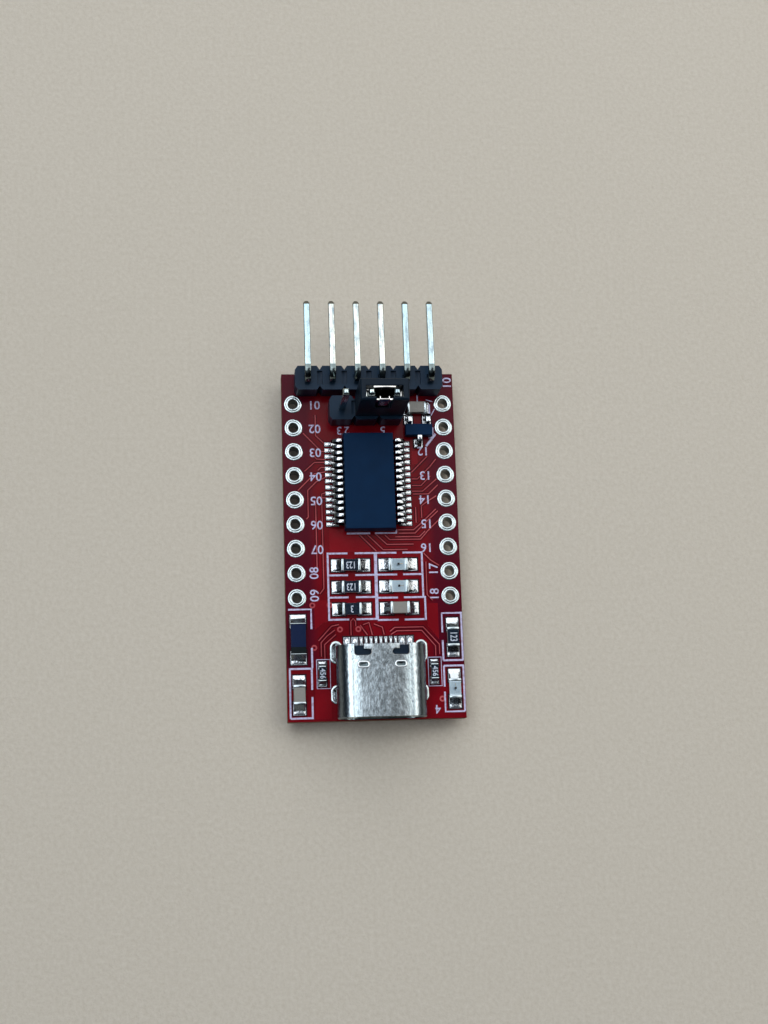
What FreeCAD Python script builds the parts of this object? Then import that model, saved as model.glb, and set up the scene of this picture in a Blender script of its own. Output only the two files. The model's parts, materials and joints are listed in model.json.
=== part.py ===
import FreeCAD, Part
import math
import os
from types import SimpleNamespace
import Sketcher

# A small serial adapter on one circuit board: a reversible port at the front edge, a 28-lead
# serial chip, chip resistors, capacitors and lamps, a bent six-pin header at the far edge and a
# three-pin voltage header with a cap that slides off. X runs across the board, Y from the port
# to the header, Z up. The origin is at the bottom centre of the whole part. Lengths are in mm.

SIZES = {
    # board and the two rows of open holes beside its long edges
    "board_width": 18.0,
    "board_length": 36.0,
    "board_thick": 1.6,
    "tail_length": 1.3,
    "row_spread": 15.68,
    "row_pitch": 2.54,
    "row_count": 9,
    "row_inset": 3.27,
    "hole_bore": 1.04,
    "ring_width": 0.42,
    "pad_thick": 0.05,
    # six-pin header
    "header_shift": -0.06,
    "header_inset": 1.14,
    "header_count": 6,
    "pin_pitch": 2.54,
    "pin_side": 0.64,
    "pin_point": 0.14,
    "pin_bore": 1.02,
    "pin_ring_width": 0.36,
    "pin_reach": 7.8,
    "bend_round": 0.95,
    "bend_rise": 0.12,
    "housing_deep": 2.54,
    "housing_high": 2.54,
    "notch_width": 0.57,
    "notch_depth": 0.42,
    "web_width": 0.55,
    "web_length": 1.45,
    "web_recess": 0.35,
    "cone_high": 0.85,
    "cone_margin": 0.07,
    "cone_waist_wall": 0.13,
    "cone_tip_wall": 0.05,
    # three-pin header and its cap
    "jumper_shift": -0.41,
    "jumper_behind": 3.18,
    "jumper_count": 3,
    "post_high": 5.9,
    "cap_width": 4.9,
    "cap_deep": 2.25,
    "cap_high": 6.0,
    "cap_lead": 0.2,
    "cap_floor": 0.5,
    "cap_seat_gap": 0.05,
    "cap_round": 0.15,
    "window_width": 1.65,
    "window_high": 3.0,
    "contact_thick": 0.2,
    "contact_gap": 0.03,
    "contact_high": 4.9,
    "spine_high": 5.4,
    "bulge_width": 1.06,
    "bulge_reach": 0.25,
    # 28-lead serial chip
    "chip_x": -0.25,
    "chip_from_far": 11.81,
    "chip_width": 5.3,
    "chip_length": 10.2,
    "chip_top": 1.85,
    "chip_stand": 0.1,
    "chip_part_line": 0.95,
    "mould_draft": 7.0,
    "lead_count": 14,
    "lead_pitch": 0.65,
    "lead_width": 0.3,
    "lead_thick": 0.18,
    "lead_span": 7.8,
    "lead_shoulder": 0.27,
    "lead_foot": 0.6,
    "lead_pad_width": 0.38,
    "lead_pad_inset": 0.15,
    "lead_pad_reach": 0.5,
    # three-lead transistor
    "transistor_x": 5.13,
    "transistor_from_far": 6.28,
    "transistor_length": 2.9,
    "transistor_width": 1.3,
    "transistor_top": 1.1,
    "transistor_part_line": 0.6,
    "transistor_pitch": 1.9,
    "transistor_lead_width": 0.42,
    "transistor_lead_thick": 0.13,
    "transistor_shoulder": 0.2,
    "transistor_foot": 0.2,
    "transistor_span": 2.5,
    "transistor_pad": 0.85,
    # chip resistors, capacitors, lamps and the fuse
    "chip_size": 2.0,
    "chip_across": 1.25,
    "band": 0.35,
    "plate": 0.04,
    "joint_film": 0.02,
    "joint_reach": 0.98,
    "joint_waist": 0.3,
    "joint_waist_rise": 0.28,
    "joint_rise": 0.8,
    "resistor_high": 0.5,
    "capacitor_high": 0.85,
    "lamp_base_high": 0.35,
    "lamp_lens_high": 0.45,
    "lamp_lens_length": 1.3,
    "lamp_draft": 9.0,
    "small_size": 1.6,
    "small_across": 0.8,
    "small_band": 0.3,
    "small_reach": 0.45,
    "fuse_size": 3.2,
    "fuse_across": 1.6,
    "fuse_high": 0.85,
    "fuse_band": 0.45,
    "fuse_reach": 0.92,
    "grid_left_x": -2.31,
    "grid_right_x": 2.55,
    "grid_from_near": 15.7,
    "grid_pitch": 2.25,
    "upper_reach": 0.35,
    "upper_capacitor_x": 5.03,
    "upper_capacitor_from_far": 3.81,
    "left_column_inset": 1.2,
    "fuse_from_near": 8.22,
    "left_capacitor_from_near": 2.67,
    "right_column_inset": 1.1,
    "right_resistor_from_near": 8.17,
    "right_lamp_from_near": 2.97,
    "small_left_gap": 1.28,
    "small_right_gap": 1.11,
    "small_from_near": 4.72,
    # port
    "port_x": 0.3,
    "port_setback": 0.1,
    "port_width": 8.94,
    "port_high": 3.2,
    "port_length": 7.25,
    "shell_wall": 0.3,
    "lip_bevel": 0.12,
    "rear_leg_y": 6.75,
    "front_leg_y": 2.52,
    "rear_leg_width": 1.3,
    "front_leg_width": 0.9,
    "leg_drop": 0.4,
    "leg_point": 0.2,
    "leg_tip_width": 0.45,
    "leg_solder_rim": 0.2,
    "slot_width": 0.74,
    "slot_play": 0.46,
    "slot_rim": 0.28,
    "cutout_near": 1.03,
    "cutout_step": 1.77,
    "cutout_far": 2.75,
    "cutout_deep": 1.13,
    "cutout_foot": 0.64,
    "cutout_round": 0.28,
    "tab_near": 0.72,
    "tab_sink": 0.1,
    "dimple_x": 1.8,
    "dimple_y": 2.12,
    "dimple_length": 1.05,
    "dimple_width": 0.55,
    "block_front": 5.3,
    "block_setback": 0.12,
    "block_gap": 0.02,
    "foot_margin": 0.05,
    "foot_length": 0.8,
    "foot_high": 0.6,
    "tongue_setback": 1.0,
    "tongue_width": 6.7,
    "tongue_thick": 0.7,
    "root_length": 0.9,
    "root_width": 7.6,
    "root_thick": 1.3,
    "finger_width": 0.25,
    "finger_thick": 0.05,
    "finger_length": 3.1,
    "tail_reach": 1.0,
    "tail_thick": 0.15,
    "tail_pitch": 0.5,
    "tail_narrow": 0.25,
    "tail_wide": 0.6,
    "tail_wide_step": 0.8,
    "tail_wide_inset": 1.12,
    "port_pad_margin": 0.06,
}

doc = FreeCAD.newDocument("serial_adapter")
pieces = []


class Size:
    """A length that carries its number and its formula over the sheet's cells."""

    def __init__(self, number, formula=None):
        self.number = float(number)
        self.formula = formula or repr(float(number))

    def joined(self, sign, other, number, swap=False):
        first, second = (other, self) if swap else (self, other)
        return Size(number, "(%s %s %s)" % (first.formula, sign, second.formula))

    def __add__(self, other):
        other = as_size(other)
        return self.joined("+", other, self.number + other.number)

    def __sub__(self, other):
        other = as_size(other)
        return self.joined("-", other, self.number - other.number)

    def __rsub__(self, other):
        other = as_size(other)
        return self.joined("-", other, other.number - self.number, swap=True)

    def __mul__(self, other):
        other = as_size(other)
        return self.joined("*", other, self.number * other.number)

    def __truediv__(self, other):
        other = as_size(other)
        return self.joined("/", other, self.number / other.number)

    def __neg__(self):
        return Size(-self.number, "(0 - %s)" % self.formula)

    __radd__ = __add__
    __rmul__ = __mul__


def as_size(value):
    return value if isinstance(value, Size) else Size(value)


def fill_sheet():
    """Write the driving sizes as plain numbers, each with its alias."""
    sheet = doc.addObject("Spreadsheet::Sheet", "sizes")
    for row, (alias, number) in enumerate(SIZES.items(), 1):
        sheet.set("A%d" % row, alias)
        sheet.set("B%d" % row, str(number))
        sheet.setAlias("B%d" % row, alias)
    doc.recompute()
    return SimpleNamespace(**{alias: Size(number, "sizes." + alias) for alias, number in SIZES.items()})


s = fill_sheet()
board_y = (s.header_inset - s.pin_reach) / 2
board_low = s.tail_length
board_top = s.tail_length + s.board_thick
far_edge = s.board_length / 2
near_edge = -s.board_length / 2
hole_sides, ring_sides, pin_hole_sides, cone_sides, slot_end_sides = 12, 16, 8, 10, 4


def bind(item, setting, size):
    size = as_size(size)
    item.setExpression(setting, size.formula)


def place(item, x, y, z, turn=0.0):
    """Put an item at x, y from the board's middle and z from the part's lowest point."""
    item.Placement = FreeCAD.Placement(
        FreeCAD.Vector(as_size(x).number, (board_y + y).number, as_size(z).number),
        FreeCAD.Rotation(FreeCAD.Vector(0, 0, 1), turn),
    )
    bind(item, "Placement.Base.x", x)
    bind(item, "Placement.Base.y", board_y + y)
    bind(item, "Placement.Base.z", z)


def keep(item, label):
    item.Label = label
    pieces.append(item)
    return item


# Sketch helpers

def new_body(name, x, y, z, turn=0.0):
    body = doc.addObject("PartDesign::Body", name)
    place(body, x, y, z, turn)
    return body


def origin_part(body, role):
    return next(item for item in body.Origin.OriginFeatures if item.Role == role)


def new_sketch(body, role, offset=0.0):
    """A sketch on one of the body's own planes, moved along the plane's normal."""
    sketch = body.newObject("Sketcher::SketchObject", "outline")
    sketch.AttachmentSupport = (origin_part(body, role), [""])
    sketch.MapMode = "FlatFace"
    bind(sketch, "AttachmentOffset.Base.z", offset)
    return sketch


def limit(sketch, kind, geometry, point, size):
    """One driven distance from the sketch's origin to a point."""
    size = as_size(size)
    index = sketch.addConstraint(Sketcher.Constraint(kind, -1, 1, geometry, point, size.number))
    sketch.setExpression("Constraints[%d]" % index, size.formula)


def fix(sketch, geometry, point, x, y):
    limit(sketch, "DistanceX", geometry, point, x)
    limit(sketch, "DistanceY", geometry, point, y)


def radius(sketch, geometry, size):
    size = as_size(size)
    index = sketch.addConstraint(Sketcher.Constraint("Radius", geometry, size.number))
    sketch.setExpression("Constraints[%d]" % index, size.formula)


def spot(x, y):
    return FreeCAD.Vector(as_size(x).number, as_size(y).number, 0)


def polygon(sketch, corners, closed=True):
    """Straight edges through the corners; returns the index of the first edge."""
    first = sketch.GeometryCount
    count = len(corners)
    edges = count if closed else count - 1
    for i in range(edges):
        line = Part.LineSegment(spot(*corners[i]), spot(*corners[(i + 1) % count]))
        sketch.addGeometry(line, False)
    for i in range(edges if closed else edges - 1):
        link = Sketcher.Constraint("Coincident", first + i, 2, first + (i + 1) % edges, 1)
        sketch.addConstraint(link)
    for i in range(edges):
        fix(sketch, first + i, 1, *corners[i])
    if not closed:
        fix(sketch, first + edges - 1, 2, *corners[-1])
    return first


def rectangle(sketch, x, y, across, along):
    x, y, across, along = (as_size(v) for v in (x, y, across, along))
    left, right = x - across / 2, x + across / 2
    low, high = y - along / 2, y + along / 2
    return polygon(sketch, [(left, low), (right, low), (right, high), (left, high)])


def round_corner(sketch, edge, size):
    """Round the corner at the end of an edge."""
    sketch.fillet(edge, 2, size.number, True, True)
    arc = max(i for i in range(sketch.GeometryCount) if isinstance(sketch.Geometry[i], Part.ArcOfCircle))
    radius(sketch, arc, size)


def circle(sketch, x, y, size):
    whole = Part.Circle(spot(x, y), FreeCAD.Vector(0, 0, 1), as_size(size).number)
    index = sketch.addGeometry(whole, False)
    fix(sketch, index, 3, x, y)
    radius(sketch, index, size)


def around(x, y, reach, turn):
    """A corner at a distance from x, y and a turn from the sketch's X."""
    return x + reach * round(math.cos(turn), 6), y + reach * round(math.sin(turn), 6)


def many_sided(sketch, x, y, across, sides):
    """A round outline drawn with flats, which are this far apart."""
    x, y = as_size(x), as_size(y)
    reach = across / (2 * math.cos(math.pi / sides))
    corners = [around(x, y, reach, math.pi * (2 * i + 1) / sides) for i in range(sides)]
    return polygon(sketch, corners)


def flat_ended(sketch, x, y, long, wide):
    """A slot along the sketch's Y whose round ends are drawn with flats."""
    half, reach = (long - wide) / 2, wide / 2
    corners = []
    for i in range(slot_end_sides + 1):
        corners.append(around(x, y + half, reach, math.pi * i / slot_end_sides))
    for i in range(slot_end_sides + 1):
        corners.append(around(x, y - half, reach, math.pi + math.pi * i / slot_end_sides))
    return polygon(sketch, corners)


def round_ended(sketch, x, y, long, wide):
    """A slot outline with round ends, lying along the sketch's X."""
    x, y, long, wide = (as_size(v) for v in (x, y, long, wide))
    half, r = (long - wide) / 2, wide / 2
    ends = [(x + half, y), (x - half, y)]
    first = sketch.GeometryCount
    for i, end in enumerate(ends):
        whole = Part.Circle(spot(*end), FreeCAD.Vector(0, 0, 1), r.number)
        begin = math.pi * (i - 0.5)
        sketch.addGeometry(Part.ArcOfCircle(whole, begin, begin + math.pi), False)
    for i in range(2):
        arc = sketch.Geometry[first + i]
        other = sketch.Geometry[first + 1 - i]
        sketch.addGeometry(Part.LineSegment(arc.EndPoint, other.StartPoint), False)
    for i in range(2):
        sketch.addConstraint(Sketcher.Constraint("Tangent", first + i, 2, first + 2 + i, 1))
        sketch.addConstraint(Sketcher.Constraint("Tangent", first + 2 + i, 2, first + 1 - i, 1))
    for i, end in enumerate(ends):
        fix(sketch, first + i, 3, *end)
        radius(sketch, first + i, r)


# Feature helpers

def pad(body, sketch, length, backwards=False, both=False, draft=None):
    feature = body.newObject("PartDesign::Pad", "pad")
    feature.Profile = sketch
    feature.Reversed = backwards
    if both:
        feature.SideType = "Symmetric"
    bind(feature, "Length", length)
    if draft is not None:
        bind(feature, "TaperAngle", -draft)
    return feature


def pocket(body, sketch, depth=None):
    """Cut downwards from a sketch, right through when no depth is given."""
    feature = body.newObject("PartDesign::Pocket", "pocket")
    feature.Profile = sketch
    if depth is None:
        feature.Type = "ThroughAll"
    else:
        bind(feature, "Length", depth)
    return feature


def pipe(body, outline, path):
    feature = body.newObject("PartDesign::AdditivePipe", "pipe")
    feature.Profile = outline
    feature.Spine = (path, [])
    feature.Transition = "Right corner"
    return feature


def loft(body, outlines):
    feature = body.newObject("PartDesign::AdditiveLoft", "loft")
    feature.Profile = outlines[0]
    feature.Sections = outlines[1:]
    feature.Ruled = True
    return feature


def row_of(body, features, axis, pitch, count):
    """Repeat features along an axis of the body."""
    pattern = body.newObject("PartDesign::LinearPattern", "row")
    pattern.Originals = features
    pattern.Direction = (origin_part(body, axis), [""])
    pattern.Mode = "Spacing"
    bind(pattern, "Offset", pitch)
    bind(pattern, "Occurrences", count)
    body.Tip = pattern
    return pattern


def mirrored(body, features, plane):
    mirror = body.newObject("PartDesign::Mirrored", "mirror")
    mirror.Originals = features
    mirror.MirrorPlane = (origin_part(body, plane), [""])
    body.Tip = mirror
    return mirror


def flat_edges(feature, axis, level):
    """Names of the edges that lie at one level of an axis in the body's own frame."""
    found = []
    for i, edge in enumerate(feature.Shape.Edges, 1):
        box = edge.BoundBox
        low, high = getattr(box, axis + "Min"), getattr(box, axis + "Max")
        if abs(low - level.number) < 1e-5 and abs(high - level.number) < 1e-5:
            found.append("Edge%d" % i)
    return found


def chamfer(body, base, edges, size):
    feature = body.newObject("PartDesign::Chamfer", "chamfer")
    feature.Base = (base, edges)
    bind(feature, "Size", size)
    return feature


# Solid helpers

def block(x, y, z, across, along, high):
    """A box centred on x and y from the board's middle, standing on z."""
    x, y, across, along = (as_size(v) for v in (x, y, across, along))
    box = doc.addObject("Part::Box", "block")
    bind(box, "Length", across)
    bind(box, "Width", along)
    bind(box, "Height", high)
    place(box, x - across / 2, y - along / 2, z)
    return box


def group(label, items, kind="Part::Compound"):
    """Gather items in one named piece, as they are or fused."""
    whole = doc.addObject(kind, "group")
    if kind == "Part::Compound":
        whole.Links = items
    else:
        whole.Shapes = items
    return keep(whole, label)


class Chip:
    """A chip part's seat: its middle, its length and width, and which way its length runs."""

    def __init__(self, x, y, long, wide, high, band, reach, upright=False):
        self.x, self.y, self.upright = x, y, upright
        self.long, self.wide, self.high, self.band, self.reach = long, wide, high, band, reach
        self.seat = board_top + s.pad_thick + s.joint_film

    def block(self, along, low, long, wide, high):
        """A box on the chip's long axis; along is measured from its middle, low from its seat."""
        x, y = (self.x, self.y + along) if self.upright else (self.x + along, self.y)
        across, deep = (wide, long) if self.upright else (long, wide)
        return block(x, y, self.seat + low, across, deep, high)


def terminals(label, chip):
    """Two plated ends, each a cup around the end of the ceramic."""
    cups = []
    for side in (-1, 1):
        middle = (chip.long - chip.band) / 2 * side
        cup = doc.addObject("Part::Cut", "cup")
        cup.Base = chip.block(middle, as_size(0), chip.band, chip.wide, chip.high)
        inside = middle - s.plate * side
        deep, tall = chip.wide - s.plate * 2, chip.high - s.plate * 2
        cup.Tool = chip.block(inside, s.plate, chip.band, deep, tall)
        cups.append(cup)
    return group(label, cups)


def ceramic(label, chip):
    """The block between and inside the two plated ends."""
    long, wide = chip.long - s.plate * 2, chip.wide - s.plate * 2
    return keep(chip.block(as_size(0), s.plate, long, wide, chip.high - s.plate * 2), label)


def lands(chip):
    """The two copper pads that a chip part is soldered to."""
    long = chip.band + chip.reach
    middle = (chip.long - chip.band + chip.reach) / 2
    low = -s.pad_thick - s.joint_film
    return [chip.block(middle * side, low, long, chip.wide, s.pad_thick) for side in (-1, 1)]


def solder_ends(chip):
    """Concave solder between each end of a chip part and the outer end of its pad."""
    body = new_body("solder", chip.x, chip.y, chip.seat - s.joint_film)
    sketch = new_sketch(body, "YZ_Plane" if chip.upright else "XZ_Plane")
    for side in (-1, 1):
        start = chip.long / 2 * side
        outer = (chip.long / 2 + chip.reach) * side
        waist = (chip.long / 2 + chip.reach * s.joint_waist) * side
        polygon(sketch, [(start, 0), (outer, 0), (outer, s.joint_film),
                         (waist, chip.high * s.joint_waist_rise), (start, chip.high * s.joint_rise)])
    pad(body, sketch, chip.wide, both=True)
    return body


# Circuit board: bored for the two rows, the header pins and the port's legs

port_y = near_edge + s.port_setback
header_x, header_y = s.header_shift, far_edge - s.header_inset
jumper_x, jumper_y = s.jumper_shift, header_y - s.jumper_behind
far_hole_y = far_edge - s.row_inset
near_hole_y = far_hole_y - s.row_pitch * (s.row_count - 1)
leg_x = (s.port_width - s.shell_wall) / 2
wide_tail_x = leg_x - s.tail_wide_inset
foot_width = (wide_tail_x + s.tail_wide / 2 + s.foot_margin) * 2
legs = ((s.rear_leg_y, s.rear_leg_width), (s.front_leg_y, s.front_leg_width))


def leg_spots():
    """Middle of each leg slot from the board's middle, and the leg's width."""
    return [(s.port_x + leg_x * side, port_y + y, width) for side in (-1, 1) for y, width in legs]


def circuit_board():
    """Laminate with round end holes in each row; the holes between them are drawn with flats."""
    body = new_body("board", 0, as_size(0), board_low)
    outline = new_sketch(body, "XY_Plane")
    rectangle(outline, 0, 0, s.board_width, s.board_length)
    pad(body, outline, s.board_thick)
    doc.recompute()
    row_ends = new_sketch(body, "XY_Plane", s.board_thick)
    inner_row = new_sketch(body, "XY_Plane", s.board_thick)
    for side in (-1, 1):
        x = s.row_spread / 2 * side
        for y in (near_hole_y, far_hole_y):
            circle(row_ends, x, y, s.hole_bore / 2)
        many_sided(inner_row, x, near_hole_y + s.row_pitch, s.hole_bore, hole_sides)
    pocket(body, row_ends)
    row_of(body, [pocket(body, inner_row)], "Y_Axis", s.row_pitch, s.row_count - 2)
    for x, y, count in ((header_x, header_y, s.header_count), (jumper_x, jumper_y, s.jumper_count)):
        pins = new_sketch(body, "XY_Plane", s.board_thick)
        many_sided(pins, x - s.pin_pitch * (count - 1) / 2, y, s.pin_bore, pin_hole_sides)
        row_of(body, [pocket(body, pins)], "X_Axis", s.pin_pitch, count)
    slots = new_sketch(body, "XY_Plane", s.board_thick)
    for x, y, width in leg_spots():
        flat_ended(slots, x, y, width + s.slot_play, s.slot_width)
    body.Tip = pocket(body, slots)
    keep(body, "circuit_board")


def hole_rings(label, x):
    """Copper rings round a row of open holes, on both faces of the board."""
    body = new_body("rings", x, near_hole_y, board_low)
    plates = []
    for level in faces:
        outline = new_sketch(body, "XY_Plane", level)
        many_sided(outline, 0, 0, s.hole_bore, hole_sides)
        many_sided(outline, 0, 0, s.hole_bore + s.ring_width * 2, ring_sides)
        plates.append(pad(body, outline, s.pad_thick))
    row_of(body, plates, "Y_Axis", s.row_pitch, s.row_count)
    keep(body, label)


def pin_rings(label, x, y, count):
    """Copper rings under the board, where the pins of a header are soldered."""
    body = new_body("rings", x - s.pin_pitch * (count - 1) / 2, y, board_low - s.pad_thick)
    outline = new_sketch(body, "XY_Plane")
    many_sided(outline, 0, 0, s.pin_bore, pin_hole_sides)
    many_sided(outline, 0, 0, s.pin_bore + s.pin_ring_width * 2, cone_sides)
    row_of(body, [pad(body, outline, s.pad_thick)], "X_Axis", s.pin_pitch, count)
    keep(body, label)


def port_slot_rims():
    """Copper rims round the slots of the port's legs, on both faces of the board."""
    body = new_body("slot_rims", 0, as_size(0), board_low)
    for level in faces:
        outline = new_sketch(body, "XY_Plane", level)
        for x, y, width in leg_spots():
            long = width + s.slot_play
            flat_ended(outline, x, y, long, s.slot_width)
            flat_ended(outline, x, y, long + s.slot_rim * 2, s.slot_width + s.slot_rim * 2)
        pad(body, outline, s.pad_thick)
    keep(body, "port_slot_rims")


faces = (-s.pad_thick, s.board_thick)
circuit_board()
for side, name in ((-1, "left"), (1, "right")):
    hole_rings(name + "_hole_rings", s.row_spread / 2 * side)
pin_rings("header_hole_rings", header_x, header_y, s.header_count)
pin_rings("jumper_hole_rings", jumper_x, jumper_y, s.jumper_count)
port_slot_rims()


# Pin headers: notched plastic bars with square pins pressed through them

def pin_places(x, count):
    """X of each pin in a header whose middle is at x."""
    number = int(count.number)
    return [x - s.pin_pitch * (count - 1) / 2 + s.pin_pitch * i for i in range(number)]


def notched_outline(count):
    """Outline of a breakaway bar: cut corners and a V notch between each two pins."""
    half, deep = s.pin_pitch * count / 2, s.housing_deep / 2
    cut, floor = s.notch_width / 2, s.notch_depth - deep
    near = [(-half, floor), (cut - half, -deep)]
    for i in range(1, int(count.number)):
        middle = s.pin_pitch * i - half
        near += [(middle - cut, -deep), (middle, floor), (middle + cut, -deep)]
    near += [(half - cut, -deep), (half, floor)]
    return near + [(-x, -y) for x, y in near]


def pin_bar(label, x, y, count):
    body = new_body("bar", x, y, board_top)
    outline = new_sketch(body, "XY_Plane")
    polygon(outline, notched_outline(count))
    pad(body, outline, s.housing_high)
    doc.recompute()
    first = -s.pin_pitch * (count - 1) / 2
    web = new_sketch(body, "XY_Plane", s.housing_high)
    rectangle(web, first + s.pin_pitch / 2, 0, s.web_width, s.web_length)
    row_of(body, [pocket(body, web, s.web_recess)], "X_Axis", s.pin_pitch, count - 1)
    hole = new_sketch(body, "XY_Plane", s.housing_high)
    rectangle(hole, first, 0, s.pin_side, s.pin_side)
    row_of(body, [pocket(body, hole)], "X_Axis", s.pin_pitch, count)
    keep(body, label)


def bent_pin(label, x):
    """A square pin up through the board and the bar, then bent over towards the far edge."""
    tail = s.board_thick + s.tail_length
    run = s.housing_high + s.bend_rise + s.bend_round
    body = new_body("pin", x, header_y, board_top)
    path = new_sketch(body, "YZ_Plane")
    polygon(path, [(0, -tail), (0, run), (s.pin_reach, run)], closed=False)
    round_corner(path, 0, s.bend_round)
    outline = new_sketch(body, "XY_Plane", -tail)
    rectangle(outline, 0, 0, s.pin_side, s.pin_side)
    bent = pipe(body, outline, path)
    doc.recompute()
    ends = flat_edges(bent, "Z", -tail) + flat_edges(bent, "Y", s.pin_reach)
    chamfer(body, bent, ends, s.pin_point)
    keep(body, label)


def straight_pin(label, x):
    tail, high = s.board_thick + s.tail_length, s.housing_high + s.post_high
    body = new_body("post", x, jumper_y, board_top)
    outline = new_sketch(body, "XY_Plane", -tail)
    rectangle(outline, 0, 0, s.pin_side, s.pin_side)
    post = pad(body, outline, tail + high)
    doc.recompute()
    chamfer(body, post, flat_edges(post, "Z", -tail) + flat_edges(post, "Z", high), s.pin_point)
    keep(body, label)


def pin_solder():
    """A hollow-sided cone of solder round each pin under the board."""
    corner = s.pin_side * math.sqrt(2)
    widths = (s.pin_bore + (s.pin_ring_width - s.cone_margin) * 2,
              corner + s.cone_waist_wall * 2, corner + s.cone_tip_wall * 2)
    rows = []
    for x, y, count in ((header_x, header_y, s.header_count), (jumper_x, jumper_y, s.jumper_count)):
        body = new_body("cones", x - s.pin_pitch * (count - 1) / 2, y, board_low - s.pad_thick)
        outlines = []
        for i, width in enumerate(widths):
            outline = new_sketch(body, "XY_Plane", -s.cone_high / 2 * i)
            many_sided(outline, 0, 0, width, cone_sides)
            outlines.append(outline)
        cone = loft(body, outlines)
        doc.recompute()
        hole = new_sketch(body, "XY_Plane")
        rectangle(hole, 0, 0, s.pin_side, s.pin_side)
        row_of(body, [cone, pocket(body, hole)], "X_Axis", s.pin_pitch, count)
        rows.append(body)
    group("pin_solder", rows)


pin_bar("header_housing", header_x, header_y, s.header_count)
for number, x in enumerate(pin_places(header_x, s.header_count), 1):
    bent_pin("header_pin_%d" % number, x)
pin_bar("jumper_housing", jumper_x, jumper_y, s.jumper_count)
for number, x in enumerate(pin_places(jumper_x, s.jumper_count), 1):
    straight_pin("jumper_pin_%d" % number, x)
pin_solder()


# Voltage cap: a plastic box with a folded spring contact, pushed over two of the three pins

cap_x = jumper_x + s.pin_pitch / 2
cap_low = board_top + s.housing_high + s.cap_seat_gap
grip_x = s.pin_pitch / 2 + s.pin_side / 2 + s.contact_gap
grip_y = s.pin_side / 2 + s.contact_gap


def jumper_cap():
    body = new_body("cap", cap_x, jumper_y, cap_low)
    outline = new_sketch(body, "XY_Plane")
    rectangle(outline, 0, s.cap_lead, s.cap_width, s.cap_deep)
    solid = pad(body, outline, s.cap_high)
    doc.recompute()
    chamfer(body, solid, flat_edges(solid, "Z", s.cap_high), s.cap_round)
    doc.recompute()
    room_x, room_y = grip_x + s.contact_thick + s.contact_gap, grip_y + s.contact_thick + s.contact_gap
    groove_x, groove_y = s.bulge_width / 2 + s.contact_gap, room_y + s.bulge_reach
    hollow = new_sketch(body, "XY_Plane", s.cap_high)
    polygon(hollow, [(-room_x, -room_y), (-groove_x, -room_y), (-groove_x, -groove_y),
                     (groove_x, -groove_y), (groove_x, -room_y), (room_x, -room_y),
                     (room_x, room_y), (-room_x, room_y)])
    pocket(body, hollow, s.cap_high - s.cap_floor)
    bores = new_sketch(body, "XY_Plane", s.cap_high)
    hole = s.pin_side + s.contact_gap * 2
    for side in (-1, 1):
        rectangle(bores, s.pin_pitch / 2 * side, 0, hole, hole)
    pocket(body, bores)
    window = new_sketch(body, "XY_Plane", s.cap_high)
    front = s.cap_lead - s.cap_deep / 2
    rectangle(window, 0, front, s.window_width, s.cap_deep)
    body.Tip = pocket(body, window, s.window_high)
    keep(body, "jumper_cap")


def jumper_contact():
    """One folded strip: a back plate, two sides, two flaps and a bulge that faces the window."""
    low, t = cap_low + s.cap_floor, s.contact_thick
    out_x, out_y = grip_x + t, grip_y + t
    bulge_x, flap_y = s.bulge_width / 2, jumper_y - grip_y - t / 2
    strips = [block(cap_x, jumper_y + grip_y + t / 2, low, out_x * 2, t, s.spine_high)]
    strips.append(block(cap_x, flap_y - s.bulge_reach, low, s.bulge_width, t, s.contact_high))
    for side in (-1, 1):
        walls = ((grip_x + t / 2, jumper_y, t, out_y * 2),
                 ((out_x + bulge_x - t) / 2, flap_y, out_x - bulge_x + t, t),
                 (bulge_x - t / 2, flap_y - s.bulge_reach / 2, t, s.bulge_reach + t))
        for x, y, across, along in walls:
            strips.append(block(cap_x + x * side, y, low, across, along, s.contact_high))
    group("jumper_contact", strips, "Part::MultiFuse")


jumper_cap()
jumper_contact()


# Moulded packages with drafted sides, and their bent leads

def moulded(label, x, y, across, along, low, part_line, top, draft):
    """A package that narrows above and below its parting line."""
    body = new_body("package", x, y, board_top)
    for backwards, high in ((False, top - part_line), (True, part_line - low)):
        outline = new_sketch(body, "XY_Plane", part_line)
        rectangle(outline, 0, 0, across, along)
        pad(body, outline, high, backwards=backwards, draft=draft)
    keep(body, label)


def lead_row(x, y, turn, start, span, rise, shoulder, foot, width, thick, pitch, count):
    """A row of gull-wing leads along the body's Y, reaching out along its X."""
    body = new_body("leads", x, y, board_top, turn)
    reach, low = span / 2, s.pad_thick + thick / 2
    first = -pitch * (count - 1) / 2
    path = new_sketch(body, "XZ_Plane", -first)
    bends = [(start, rise), (start + shoulder, rise), (reach - foot, low), (reach, low)]
    polygon(path, bends, closed=False)
    outline = new_sketch(body, "YZ_Plane", start)
    rectangle(outline, first, rise, width, thick)
    lead = pipe(body, outline, path)
    if count.number > 1:
        row_of(body, [lead], "Y_Axis", pitch, count)
    return body


chip_y = far_edge - s.chip_from_far
transistor_y = far_edge - s.transistor_from_far


def serial_chip():
    x, y = s.chip_x, chip_y
    moulded("serial_chip_body", x, y, s.chip_width, s.chip_length,
            s.chip_stand, s.chip_part_line, s.chip_top, s.mould_draft)
    for turn, name in ((0, "right"), (180, "left")):
        row = lead_row(x, y, turn, s.chip_width / 2, s.lead_span, s.chip_part_line, s.lead_shoulder,
                       s.lead_foot, s.lead_width, s.lead_thick, s.lead_pitch, s.lead_count)
        keep(row, "serial_chip_%s_leads" % name)


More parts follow.
